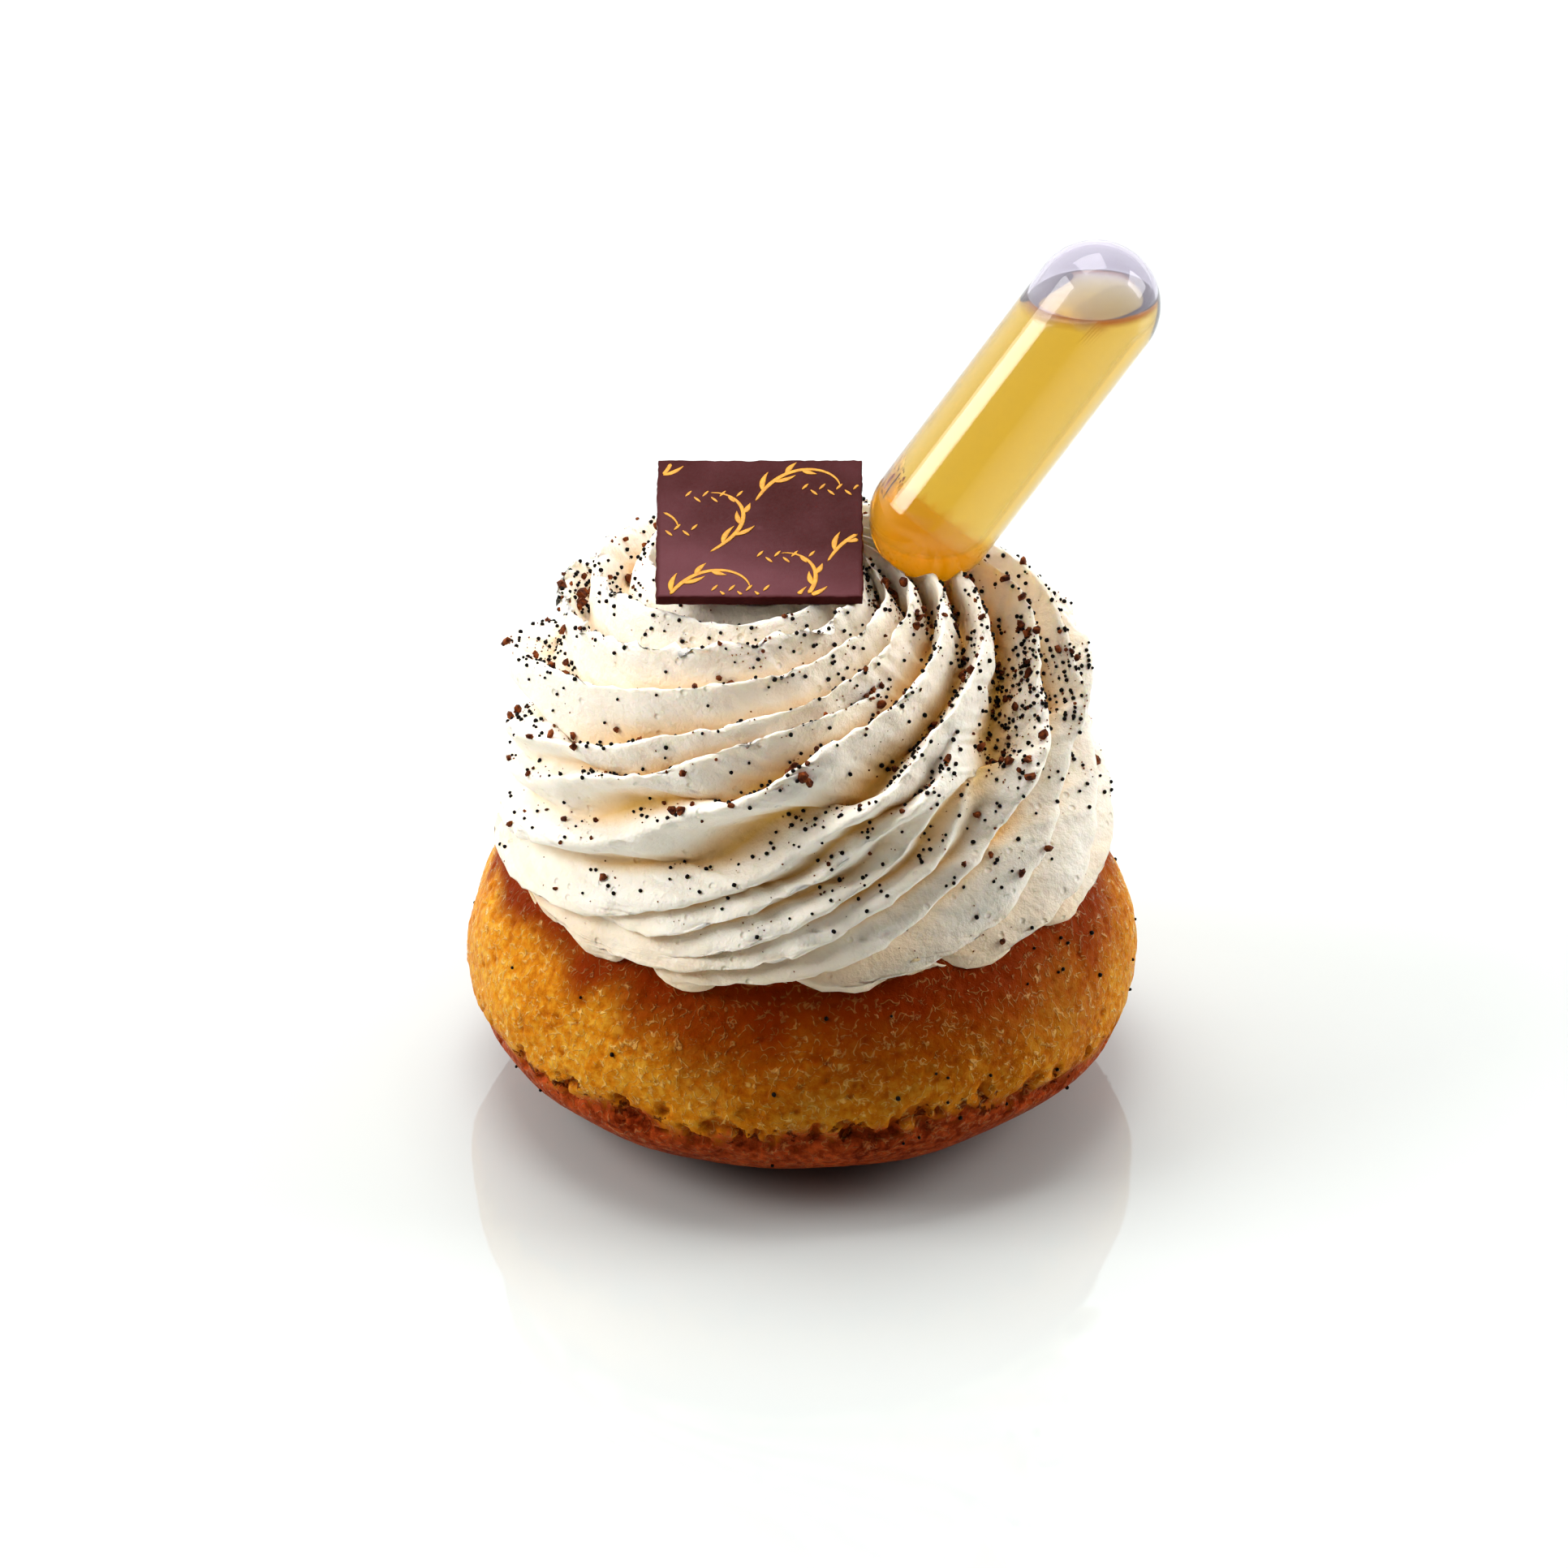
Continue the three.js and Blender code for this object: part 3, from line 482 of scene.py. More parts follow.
def cake_surface():
    """Cake side as rings: the side's profile turned about Z, pushed by slow waves for the uneven rise,
    bitten at the torn lip, then cut by pores and holes along its normals."""
    radius, height = cake_side(CAKE_ROWS)
    angle = np.linspace(0, 2 * math.pi, CAKE_COLUMNS, endpoint=False)[None]
    height = np.repeat(height[:, None], CAKE_COLUMNS, axis=1)
    lumps = sum(
        tall * np.sin(waves * angle + climb * height + start) for waves, climb, start, tall in CAKE_LUMPS
    )
    lip = LIP_HEIGHT + sum(tall * np.sin(waves * angle + start) for waves, start, tall in LIP_WAVES)
    bite = LIP_DEPTH + LIP_DEPTH_CHANGE * np.sin(LIP_DEPTH_WAVES * angle + LIP_DEPTH_START)
    bite = bite * np.exp(-(((height - lip) / LIP_WIDTH) ** 2)) * smooth_step(0, LIP_FROM_FLOOR, height)
    reach = radius[:, None] + lumps * smooth_step(0, CAKE_LUMPS_FULL_HEIGHT, height) - bite
    grid = np.stack([reach * np.cos(angle), reach * np.sin(angle), height], axis=-1)

    edge = height - lip - CRUST_ABOVE_LIP - TEAR_RAGGED * lattice_noise(grid, TEAR_SIZE, seed=11)
    crust = smooth_step(CRUST_BLEND, -CRUST_BLEND, edge)
    crumb = 1 - crust
    front = smooth_step(TEAR_FRONT_FROM, TEAR_FRONT_TO, -np.sin(angle))
    band = np.exp(-(((height - lip - TEAR_ABOVE_LIP) / TEAR_BAND) ** 2)) * at_least(TEAR_AT_BACK, front)
    holes = two_noises(grid, TEAR_SIZE, TEAR_FINE, seeds=(23, 25))
    tear = smooth_step(TEAR_FROM, TEAR_TO, holes - TEAR_OFF_BAND * (1 - band)) * band
    pore_gap, pore_draw = nearest_spot(grid, PORE_SPACING, seed=31)
    pore = smooth_step(PORE_RADIUS + PORE_RADIUS_CHANGE * pore_draw, 0, pore_gap) * pore_draw
    pore = pore * at_least(PORE_IN_CRUST, crumb)
    grain = two_noises(grid, GRAIN_SIZE, GRAIN_FINE, seeds=(41, 43)) * at_least(GRAIN_IN_CRUST, crumb)
    push = GRAIN_RELIEF * grain - PORE_DEPTH * pore - TEAR_DEPTH * tear
    push = push * smooth_step(RELIEF_FROM, RELIEF_TO, height)
    grid = grid + grid_normals(grid) * push[..., None]

    squeezed = grid * np.array((1, 1, SYRUP_STREAK_HEIGHT))
    streak = SYRUP_STREAKS * lattice_noise(squeezed, SYRUP_STREAK_SIZE, seed=47)
    # Painted shade: the dark band under the cream is syrup and the shade of the cream's overhang, and it
    # reaches further down at the front, where shade falls on the cake
    middle = smooth_step(SHADED_FRONT_FROM, SHADED_FRONT_TO, np.cos(angle - SHADED_FRONT_BEARING))
    below_cream = (height + streak - SYRUP_AND_SHADE_TOP) / (SYRUP_AND_SHADE_REACH + SHADE_REACH_FRONT * middle)
    syrup = smooth_step(-1, 0, below_cream)
    # hollow paints shade into the pores and torn holes
    shade = {"crust": crust, "hollow": np.clip(pore + tear, 0, 1), "syrup": syrup, "torn": band}
    points = closed_points(grid, (0, 0, 0), (0, 0, CAKE_TOP_HEIGHT))
    return points, {key: np.append(values.ravel(), (0, 0)) for key, values in shade.items()}


def cake_material(settings):
    """Yeast-dough crumb soaked in syrup: golden and full of pores, wet, so that the fine winding walls
    between the pores glint, and painted glints lighten those walls too; painted shade darkens the pores and
    torn holes; next to the cream it is deep amber from syrup and painted shade, and the baked crust below is
    red-brown and smoother."""
    material, tree = new_material("soaked_baba_crumb")
    place = add_node(tree, "TexCoord")
    crust = add_node(tree, "Attribute", attribute_name="crust")
    hollow = add_node(tree, "Attribute", attribute_name="hollow")
    blotch = add_node(tree, "TexNoise", {
        "Vector": (place, "Object"), "Scale": 1 / (8 * MM), "Detail": 3.0,
    })
    grain = add_node(tree, "TexNoise", {
        "Vector": (place, "Object"), "Scale": 1 / (GRAIN_SIZE * MM), "Detail": 4.0, "Roughness": 0.65,
    })
    amount = add_node(tree, "Math", {
        0: (blotch, "Fac"), 1: 0.5, 2: (grain, "Fac"),
    }, operation="MULTIPLY_ADD")
    crumb = add_node(tree, "ValToRGB", {
        "Fac": (amount, "Value"),
    }, stops=((0.4, settings.pore_shade_colour), (0.7, settings.crumb_colour), (1.0, settings.bright_colour)))
    # Painted shade: pores and torn holes are darkened towards the pore colour
    pored = add_node(tree, "Mix", {
        "Factor": (hollow, "Fac"), "A": (crumb, "Color"), "B": settings.pore_shade_colour,
    }, data_type="RGBA")
    syrup = add_node(tree, "Attribute", attribute_name="syrup")
    # Syrup and painted shade darken the dough next to the cream
    soaked_and_shaded = add_node(tree, "Mix", {
        "Factor": (syrup, "Fac"), "A": (pored, "Result"), "B": settings.syrup_and_shade_colour,
    }, data_type="RGBA")
    mottle = add_node(tree, "MapRange", {"Value": (amount, "Value"), "From Min": 0.55, "From Max": 0.95})
    baked = add_node(tree, "Mix", {
        "Factor": (mottle, "Result"), "A": settings.crust_dark_colour, "B": settings.crust_colour,
    }, data_type="RGBA")
    # Crumb and crust meet in ragged patches as large as the grain
    patchy = add_node(tree, "Math", {
        0: (grain, "Fac"), 1: 1.3, 2: (crust, "Fac"),
    }, operation="MULTIPLY_ADD")
    skin = add_node(tree, "MapRange", {
        "Value": (patchy, "Value"), "From Min": 0.85, "From Max": 1.5,
    }, interpolation_type="SMOOTHSTEP")
    covered = add_node(tree, "Mix", {
        "Factor": (skin, "Result"), "A": (soaked_and_shaded, "Result"), "B": (baked, "Result"),
    }, data_type="RGBA")
    # Along the lip the dough has torn into small holes, painted dark as the shade inside them
    band = add_node(tree, "Attribute", attribute_name="torn")
    rip = add_node(tree, "TexNoise", {
        "Vector": (place, "Object"), "Scale": 1 / (TEAR_SIZE * MM), "Detail": 3.0, "Roughness": 0.6,
    })
    ripped = add_node(tree, "Math", {
        0: (band, "Fac"), 1: 0.35, 2: (rip, "Fac"),
    }, operation="MULTIPLY_ADD")
    hole = add_node(tree, "MapRange", {
        "Value": (ripped, "Value"), "From Min": 0.91, "From Max": 0.97, "To Max": 0.85,
    }, interpolation_type="SMOOTHSTEP")
    holed = add_node(tree, "Mix", {
        "Factor": (hole, "Result"), "A": (covered, "Result"), "B": settings.hole_shade_colour,
    }, data_type="RGBA")
    # Pore walls wind like the line where a soft noise crosses its middle value, and the grain breaks them up
    winding = add_node(tree, "TexNoise", {
        "Vector": (place, "Object"), "Scale": 1 / (1.2 * MM), "Detail": 0.5, "Distortion": 0.8,
    })
    off_middle = add_node(tree, "Math", {0: (winding, "Fac"), 1: 0.5}, operation="SUBTRACT")
    apart = add_node(tree, "Math", {0: (off_middle, "Value")}, operation="ABSOLUTE")
    ring = add_node(tree, "MapRange", {
        "Value": (apart, "Value"), "From Min": 0.012, "From Max": 0.055, "To Min": 1.0, "To Max": 0.0,
    }, interpolation_type="SMOOTHSTEP")
    breaks = add_node(tree, "MapRange", {
        "Value": (grain, "Fac"), "From Min": 0.44, "From Max": 0.56,
    }, interpolation_type="SMOOTHSTEP")
    wall = add_node(tree, "Math", {0: (ring, "Result"), 1: (breaks, "Result")}, operation="MULTIPLY")
    # Painted glint: the pore walls are lightened as if light glinted off them, less on the crust and in the
    # syrup and shade
    thin = add_node(tree, "MapRange", {"Value": (skin, "Result"), "To Min": 0.5, "To Max": 0.15})
    clear_of_syrup_and_shade = add_node(tree, "MapRange", {"Value": (syrup, "Fac"), "To Min": 1.0, "To Max": 0.3})
    thin_and_clear_of_shade = add_node(tree, "Math", {0: (thin, "Result"), 1: (clear_of_syrup_and_shade, "Result")}, operation="MULTIPLY")
    painted_glint = add_node(tree, "Math", {0: (wall, "Value"), 1: (thin_and_clear_of_shade, "Value")}, operation="MULTIPLY")
    colour = add_node(tree, "Mix", {
        "Factor": (painted_glint, "Value"), "A": (holed, "Result"), "B": settings.wall_glint_colour,
    }, data_type="RGBA")
    gloss = add_node(tree, "MapRange", {"Value": (wall, "Value"), "To Min": 0.42, "To Max": 0.16})
    wet = add_node(tree, "MapRange", {"Value": (wall, "Value"), "To Min": 0.06, "To Max": 0.8})
    dull = add_node(tree, "MapRange", {"Value": (crust, "Fac"), "To Min": 1.0, "To Max": 0.3})
    shine = add_node(tree, "Math", {0: (wet, "Result"), 1: (dull, "Result")}, operation="MULTIPLY")
    raised = add_node(tree, "Math", {
        0: (wall, "Value"), 1: 0.7, 2: (grain, "Fac"),
    }, operation="MULTIPLY_ADD")
    relief = add_node(tree, "Math", {0: (raised, "Value"), 1: (hole, "Result")}, operation="SUBTRACT")
    bump = add_node(tree, "Bump", {"Height": (relief, "Value"), "Strength": 0.7, "Distance": 0.35 * MM})
    shader = add_node(tree, "BsdfPrincipled", {
        "Base Color": (colour, "Result"), "Roughness": (gloss, "Result"),
        "Specular IOR Level": (shine, "Value"), "Normal": (bump, "Normal"), "IOR": 1.42,
        "Subsurface Weight": 0.3, "Subsurface Radius": (1.0, 0.35, 0.05), "Subsurface Scale": 1.2 * MM,
        "Specular Tint": settings.glint_colour,
    })
    add_node(tree, "OutputMaterial", {"Surface": (shader, "BSDF")})
    return material


# Cream


def swirl_angle(phase, way):
    """Angle from the front of a ridge phase, a way up: the root of
    angle - drift·cos(angle - at) = phase + twist, found by Newton's steps."""
    target = phase + np.interp(way, TWIST[:, 0], TWIST[:, 1])
    angle = target.copy()
    for _ in range(ANGLE_STEPS):
        turn = np.radians(angle - HAND_DRIFT_AT)
        error = angle - HAND_DRIFT * np.cos(turn) - target
        angle -= error / (1 + math.radians(HAND_DRIFT) * np.sin(turn))
    return angle


def ledge_curve(share):
    """A short steep side: a sine's first quarter, to a power under one."""
    return np.sin(np.clip(share, 0, 1) * math.pi / 2) ** LEDGE_POWER


def face_curve(share):
    """A long blunt side: a smooth step mixed with a plain power."""
    share = np.clip(share, 0, 1)
    return FACE_ROUNDING * smooth_step(0, 1, share) + (1 - FACE_ROUNDING) * share ** FACE_POWER


def valley_share(place, valley, lean):
    """Share of the depth at a place across a ridge: a short ledge on one side of the valley, a long face or
    a bulging lobe on the other, mixed by the way the crests lean."""
    near, far = place / valley, (place - valley) / (1 - valley)
    standing = np.where(place < valley, ledge_curve(near), 1 - face_curve(far))
    hanging = np.where(place < valley, np.clip(near, 0, 1) ** LOBE_POWER, ledge_curve(1 - far))
    return (standing * (1 + lean) + hanging * (1 - lean)) / 2


def lobe_arch(angle, notches):
    """Rise of the cream's edge, from 0 in the middle of a lobe to 1 at its notches: a power of the way."""
    notches = np.sort(notches % 360)
    ring = np.concatenate([notches[-1:] - 360, notches, notches[:1] + 360])
    share = np.interp(angle % 360, ring, np.arange(len(ring))) % 1
    return np.abs(2 * share - 1) ** LOBE_ROUNDING


def off_pipette(points):
    """The nearest point of the pipette's axis for each point, and the way from there to it."""
    axis = PIPETTE_HIGH - PIPETTE_LOW
    along = np.clip(((points - PIPETTE_LOW) @ axis) / (axis @ axis), 0, 1)
    nearest = PIPETTE_LOW + along[..., None] * axis
    return nearest, points - nearest


def pressed_by_toppings(grid):
    """Moves points out of the pipette's capsule to its skin, and from the plaque to its underside."""
    nearest, away = off_pipette(grid)
    gap = np.linalg.norm(away, axis=-1, keepdims=True)
    reach = PIPETTE_RADIUS + PRESS_GAP
    grid = np.where(gap < reach, nearest + away / np.maximum(gap, TINY) * reach, grid)
    local = to_plaque(grid)
    under = -PLAQUE_THICKNESS / 2 - PRESS_GAP
    inside = np.all(np.abs(local[..., :2]) < PLAQUE_SIDE / 2, axis=-1) & (local[..., 2] > under)
    local[..., 2] = np.where(inside, under, local[..., 2])
    return from_plaque(local)


def swirl_form(ridge_depth):
    """Smooth cream skin as rings up the meridian. Each ring runs over the ridges: a point lies at a share of
    the valley's depth inside the meridian, and the crests are shifted along it, down low and up high. After
    it come the direction up the skin, the way up, the phase, the share and gain of depth, and the painted
    shade of the hollows, with the painted bounce light next to the cake."""
    way, line = even_curve(SWIRL_MERIDIAN, SWIRL_ROWS)
    tangent = np.gradient(line, way, axis=0)
    tangent /= np.linalg.norm(tangent, axis=1, keepdims=True)
    out, up = tangent[:, :1], tangent[:, 1:]
    lower = np.append(RIDGE_PHASES[1:], RIDGE_PHASES[0] + 360)
    width = lower - RIDGE_PHASES
    depth = np.minimum(ridge_depth * (width / RIDGE_USUAL_WIDTH) ** RIDGE_WIDTH_POWER, RIDGE_DEPTH_LIMIT)
    crest = (depth + np.roll(depth, 1)) / 2
    notches = swirl_angle(lower - (VALLEY_MIDDLE + VALLEY_LEAN) * width, 0)
    ridges = len(RIDGE_PHASES)
    sample = np.tile(1 - np.arange(RIDGE_COLUMNS) / RIDGE_COLUMNS, ridges)[None]
    joined = [(lower[last], lower[last] - RIDGE_PHASES[first]) for first, last, *_ in JOINS]
    lower, width, depth, above, below, number = (
        np.repeat(values, RIDGE_COLUMNS)[None]
        for values in (lower, width, depth, crest, np.roll(crest, -1), np.arange(ridges))
    )
    s = way[:, None]

    upright = smooth_step(LEAN_FROM, LEAN_TO, s)
    lean = 2 * upright - 1
    valley = VALLEY_MIDDLE - VALLEY_LEAN * lean
    place = np.where(
        sample < VALLEY_SAMPLE,
        sample / VALLEY_SAMPLE * valley,
        valley + (sample - VALLEY_SAMPLE) / (1 - VALLEY_SAMPLE) * (1 - valley),
    )
    phase = lower - place * width
    share = valley_share(place, valley, lean)
    for (first, last, start, stop, joined_depth), (joined_lower, joined_width) in zip(JOINS, joined):
        join = ((number >= first) & (number <= last)) * smooth_step(start, stop, s)
        share = share + join * (valley_share((joined_lower - phase) / joined_width, valley, lean) - share)
        depth = depth + join * (joined_depth - depth)
    angle = swirl_angle(phase, s + 0 * phase)
    bearing = np.radians(angle - 90)
    fade = smooth_step(RIDGE_FADE_TO, RIDGE_FADE_FROM, line[:, :1])
    gain = fade * at_least(RIDGE_LOW_GAIN, upright)
    wobble = SWIRL_WOBBLE * sum(np.sin(waves * bearing + climb * s) for waves, climb in WOBBLE_WAVES)
    deep = depth * gain * share - wobble * fade
    shift = LEAN_SHARE * lean * (1 - share) * (below + (above - below) * place) * gain
    radius = line[:, :1] - up * deep + out * shift
    lobe = 1 - smooth_step(0, LOBE_REACH, s)
    rise = LOBE_RISE * lobe_arch(angle, notches) * lobe * smooth_step(0, LOBE_FOOT, s)
    height = line[:, 1:] + (out * deep + up * shift) * (1 - lobe) + rise
    grid = np.stack([radius * np.cos(bearing), radius * np.sin(bearing), height], axis=-1)
    away = np.sum((grid[..., :2] - TAIL_PLACE) ** 2, axis=-1) / TAIL_SPREAD ** 2
    grid[..., 2] += TAIL_HEIGHT * np.exp(-away) * smooth_step(TAIL_STARTS_ABOVE, TAIL_FULL_ABOVE, height)
    for _ in range(CREST_ROUNDING):
        grid = (np.roll(grid, 1, axis=1) + 2 * grid + np.roll(grid, -1, axis=1)) / 4
    # Painted shade: hollows are warmer and darker by their depth, paler on the side the light comes from, and
    # next to the cake painted with its golden bounce light
    low = 1 - smooth_step(0, LOW_WARMTH_REACH, s)
    pale = PALE_SHARE * smooth_step(PALE_FROM, PALE_TO, np.cos(bearing - PALE_BEARING))
    warmth = np.maximum(share ** 2 * gain * (1 - pale), LOW_WARMTH * low)
    upward = np.stack([out * np.cos(bearing), out * np.sin(bearing), up + 0 * bearing], axis=-1)
    return grid, upward, s, phase, share, gain, warmth


def swirl_surface(ridge_depth):
    """Whipped cream skin: the smooth one, pushed along its normals by lumps, pull marks, nicks and bubbles,
    and torn up and down along its crests. The painted shade of its hollows and the painted bounce light next
    to the cake come with it."""
    grid, upward, s, phase, share, gain, warmth = swirl_form(ridge_depth)
    # Along a ridge the way turns slowly and the skin runs far, so pull marks are drawn on way and phase
    turned = np.stack([s + 0 * phase, np.radians(phase) * PULL_DRUM_RADIUS, 0 * phase], axis=-1)
    pull = lattice_noise(turned / np.array((PULL_ALONG / PULL_SQUEEZE, PULL_ACROSS, 1)), spacing=1, seed=51)
    torn = 1 + TORN_GAIN * np.exp(-(((phase - TORN_PHASE) / TORN_SPREAD) ** 2))
    crested = smooth_step(CREST_FROM, CREST_TO, share) * torn
    nick = smooth_step(NICK_FROM, NICK_TO, lattice_noise(grid, NICK_SIZE, seed=57)) * crested
    bubble_gap, bubble_draw = nearest_spot(grid, BUBBLE_SPACING, seed=61)
    burst = smooth_step(BUBBLE_DRAW_FROM, BUBBLE_DRAW_TO, bubble_draw)
    bubble = smooth_step(BUBBLE_RADIUS * bubble_draw, 0, bubble_gap) * burst
    push = LUMP_RELIEF * lattice_noise(grid, LUMP_SIZE, seed=53)
    push = push + GRAIN_LUMP_RELIEF * lattice_noise(grid, GRAIN_LUMP_SIZE, seed=59)
    push = push + PULL_RELIEF * pull * at_least(PULL_ON_CREST, smooth_step(CREST_TO, CREST_FROM, share))
    push = push - NICK_DEPTH * nick * gain - BUBBLE_DEPTH * bubble
    ragged = CREST_RAGGED * two_noises(grid, RAGGED_SIZE, RAGGED_FINE, seeds=(67, 69)) * crested * gain
    moved = grid_normals(grid) * push[..., None] + upward * ragged[..., None]
    grid = grid + moved * smooth_step(0, SKIN_STARTS, s)[..., None]
    return pressed_by_toppings(grid), warmth


def cream_material(settings):
    """Whipped cream, piped and set: off-white and matt, with light passing into it, so that it looks soft;
    its hollows are painted warmer and darker as shade, and next to the cake it is painted with the cake's
    golden bounce light; its skin has pull marks and tiny burst bubbles."""
    material, tree = new_material("whipped_cream")
    place = add_node(tree, "TexCoord")
    warmth = add_node(tree, "Attribute", attribute_name="warmth")
    tone = add_node(tree, "TexNoise", {"Vector": (place, "Object"), "Scale": 1 / (6 * MM), "Detail": 3.0})
    # Painted shade and bounce light, with a random tone, turn the cream towards the hollow colour
    warm = add_node(tree, "Math", {
        0: (tone, "Fac"), 1: 0.3, 2: (warmth, "Fac"),
    }, operation="MULTIPLY_ADD")
    amount = add_node(tree, "MapRange", {"Value": (warm, "Value"), "From Min": 0.42, "From Max": 1.15})
    colour = add_node(tree, "Mix", {
        "Factor": (amount, "Result"), "A": settings.cream_colour, "B": settings.hollow_shade_colour,
    }, data_type="RGBA")
    fine = add_node(tree, "TexNoise", {
        "Vector": (place, "Object"), "Scale": 1 / (1.0 * MM), "Detail": 3.0, "Roughness": 0.6,
    })
    bubbles = add_node(tree, "TexVoronoi", {"Vector": (place, "Object"), "Scale": 1 / (2.6 * MM)})
    pits = add_node(tree, "MapRange", {
        "Value": (bubbles, "Distance"), "From Min": 0.06, "From Max": 0.18, "To Min": -1.0,
        "To Max": 0.0,
    }, interpolation_type="SMOOTHSTEP")
    relief = add_node(tree, "Math", {
        0: (fine, "Fac"), 1: 1.0, 2: (pits, "Result"),
    }, operation="MULTIPLY_ADD")
    bump = add_node(tree, "Bump", {"Height": (relief, "Value"), "Strength": 0.6, "Distance": 0.45 * MM})
    shader = add_node(tree, "BsdfPrincipled", {
        "Base Color": (colour, "Result"), "Normal": (bump, "Normal"), "IOR": 1.4, "Roughness": 0.5,
        "Specular IOR Level": 0.3, "Subsurface Weight": 0.3, "Subsurface Radius": (1.0, 0.6, 0.3),
        "Subsurface Scale": 1.0 * MM,
    })
    add_node(tree, "OutputMaterial", {"Surface": (shader, "BSDF")})
    return material


# Specks


def ball(rings, around):
    """Points and faces of a small ball of radius 1: rings at even latitudes between two poles."""
    latitude = np.linspace(-math.pi / 2, math.pi / 2, rings + 2)[1:-1, None]
    turn = np.linspace(0, 2 * math.pi, around, endpoint=False)[None]
    flat = np.cos(latitude)
    grid = np.stack([flat * np.cos(turn), flat * np.sin(turn), np.sin(latitude) + 0 * turn], axis=-1)
    return closed_points(grid, (0, 0, -1), (0, 0, 1)), closed_faces(rings, around)


def random_turns(rng, count):
    """Rotation matrices of random unit quaternions."""
    turns = rng.normal(size=(count, 4)).T
    w, x, y, z = turns / np.linalg.norm(turns, axis=0)
    return np.array([
        [1 - 2 * (y * y + z * z), 2 * (x * y - z * w), 2 * (x * z + y * w)],
        [2 * (x * y + z * w), 1 - 2 * (x * x + z * z), 2 * (y * z - x * w)],
        [2 * (x * z - y * w), 2 * (y * z + x * w), 1 - 2 * (x * x + y * y)],
    ]).transpose(2, 0, 1)


def grains(rng, places, radii, rings, around, stretch, rough):
    """Copies of a ball as one set of arrays: each is stretched, roughened, sized and turned by draws."""
    shape, faces = ball(rings, around)
    count = len(places)
    axes = rng.uniform(stretch, 1, (count, 1, 3))
    uneven = 1 + rough * rng.uniform(-1, 1, (count, len(shape), 1))
    shaped = shape[None] * axes * uneven * radii[:, None, None]
    points = np.einsum("nij,nkj->nki", random_turns(rng, count), shaped) + places[:, None]
    step = (np.arange(count) * len(shape))[:, None, None]
    return points.reshape(-1, 3), [(part[None] + step).reshape(-1, part.shape[1]) for part in faces]


def face_arrays(piece):
    """Centres in millimetres, normals and areas of a piece's faces."""
    polygons = piece.data.polygons
    arrays = []
    for key, width in (("center", 3), ("normal", 3), ("area", 1)):
        values = np.empty((len(polygons), width), np.float32)
        polygons.foreach_get(key, values.ravel())
        arrays.append(values.astype(float))
    centre, normal, area = arrays
    return centre / MM, normal, area.ravel()


def clear_of_toppings(points):
    """1 where a speck would be clear of the plaque and the pipette, 0 elsewhere."""
    local = to_plaque(points)
    at_plaque = np.all(np.abs(local[..., :2]) < PLAQUE_SIDE / 2 + SPECK_MARGIN, axis=-1)
    gap = np.linalg.norm(off_pipette(points)[1], axis=-1)
    covered = (at_plaque & (local[..., 2] > -UNDER_PLAQUE)) | (gap < PIPETTE_RADIUS + SPECK_MARGIN)
    return np.where(covered, 0.0, 1.0)


def cream_likelihood(centre, normal, clump):
    """Chance of a speck on the cream: more on what faces up, higher, to the right and in clumps."""
    up = SPECKS_UP_ELSEWHERE + smooth_step(SPECKS_UP_FROM, SPECKS_UP_TO, normal[:, 2])
    high = SPECKS_HIGH_ELSEWHERE + smooth_step(SPECKS_HIGH_FROM, SPECKS_HIGH_TO, centre[:, 2])
    right = at_least(SPECKS_RIGHT_ELSEWHERE, smooth_step(SPECKS_RIGHT_FROM, SPECKS_RIGHT_TO, centre[:, 0]))
    clumps = np.exp(clump * lattice_noise(centre, CLUMP_SIZE, CLUMP_SEED))
    return up * high * right * clumps * clear_of_toppings(centre)


def scattered(rng, arrays, likelihood, count):
    """Draws faces by area times likelihood, and gives their centres and normals."""
    centre, normal, area = arrays
    chance = area * likelihood
    picked = rng.choice(len(area), count, replace=False, p=chance / chance.sum())
    return centre[picked], normal[picked]


def add_specks(rng, name, spots, radii, lift, form, material, smooth):
    """Makes specks as one piece, each with its middle a share of its radius over the skin that it lies on."""
    places, normals = spots
    points, faces = grains(rng, places + normals * (lift * radii)[:, None], radii, **form)
    add_piece(name, points, faces, material, smooth=smooth)


def speck_material(name, dark, bright, size, roughness):
    """A dark speck: its own colour, mottled with a lighter one at the grain of a broken piece."""
    material, tree = new_material(name)
    place = add_node(tree, "TexCoord")
    mottle = add_node(tree, "TexNoise", {
        "Vector": (place, "Object"), "Scale": 1 / (size * MM), "Detail": 2.0,
    })
    amount = add_node(tree, "MapRange", {"Value": (mottle, "Fac"), "From Min": 0.4, "From Max": 0.75})
    colour = add_node(tree, "Mix", {
        "Factor": (amount, "Result"), "A": dark, "B": bright,
    }, data_type="RGBA")
    shader = add_node(tree, "BsdfPrincipled", {
        "Base Color": (colour, "Result"), "Roughness": roughness, "IOR": 1.45,
        "Specular IOR Level": 0.15,
    })
    add_node(tree, "OutputMaterial", {"Surface": (shader, "BSDF")})
    return material


# Plaque


def to_plaque(points):
    """Points in the plaque's own axes: moved to its centre and turned back about X."""
    moved = points - PLAQUE_CENTRE
    cos, sin = math.cos(PLAQUE_TIP), math.sin(PLAQUE_TIP)
    return np.stack([
        moved[..., 0], cos * moved[..., 1] + sin * moved[..., 2], cos * moved[..., 2] - sin * moved[..., 1]
    ], axis=-1)


def from_plaque(local):
    """Points in the part's axes from the plaque's own: turned about X and moved to its place."""
    cos, sin = math.cos(PLAQUE_TIP), math.sin(PLAQUE_TIP)
    return PLAQUE_CENTRE + np.stack([
        local[..., 0], cos * local[..., 1] - sin * local[..., 2], sin * local[..., 1] + cos * local[..., 2]
    ], axis=-1)


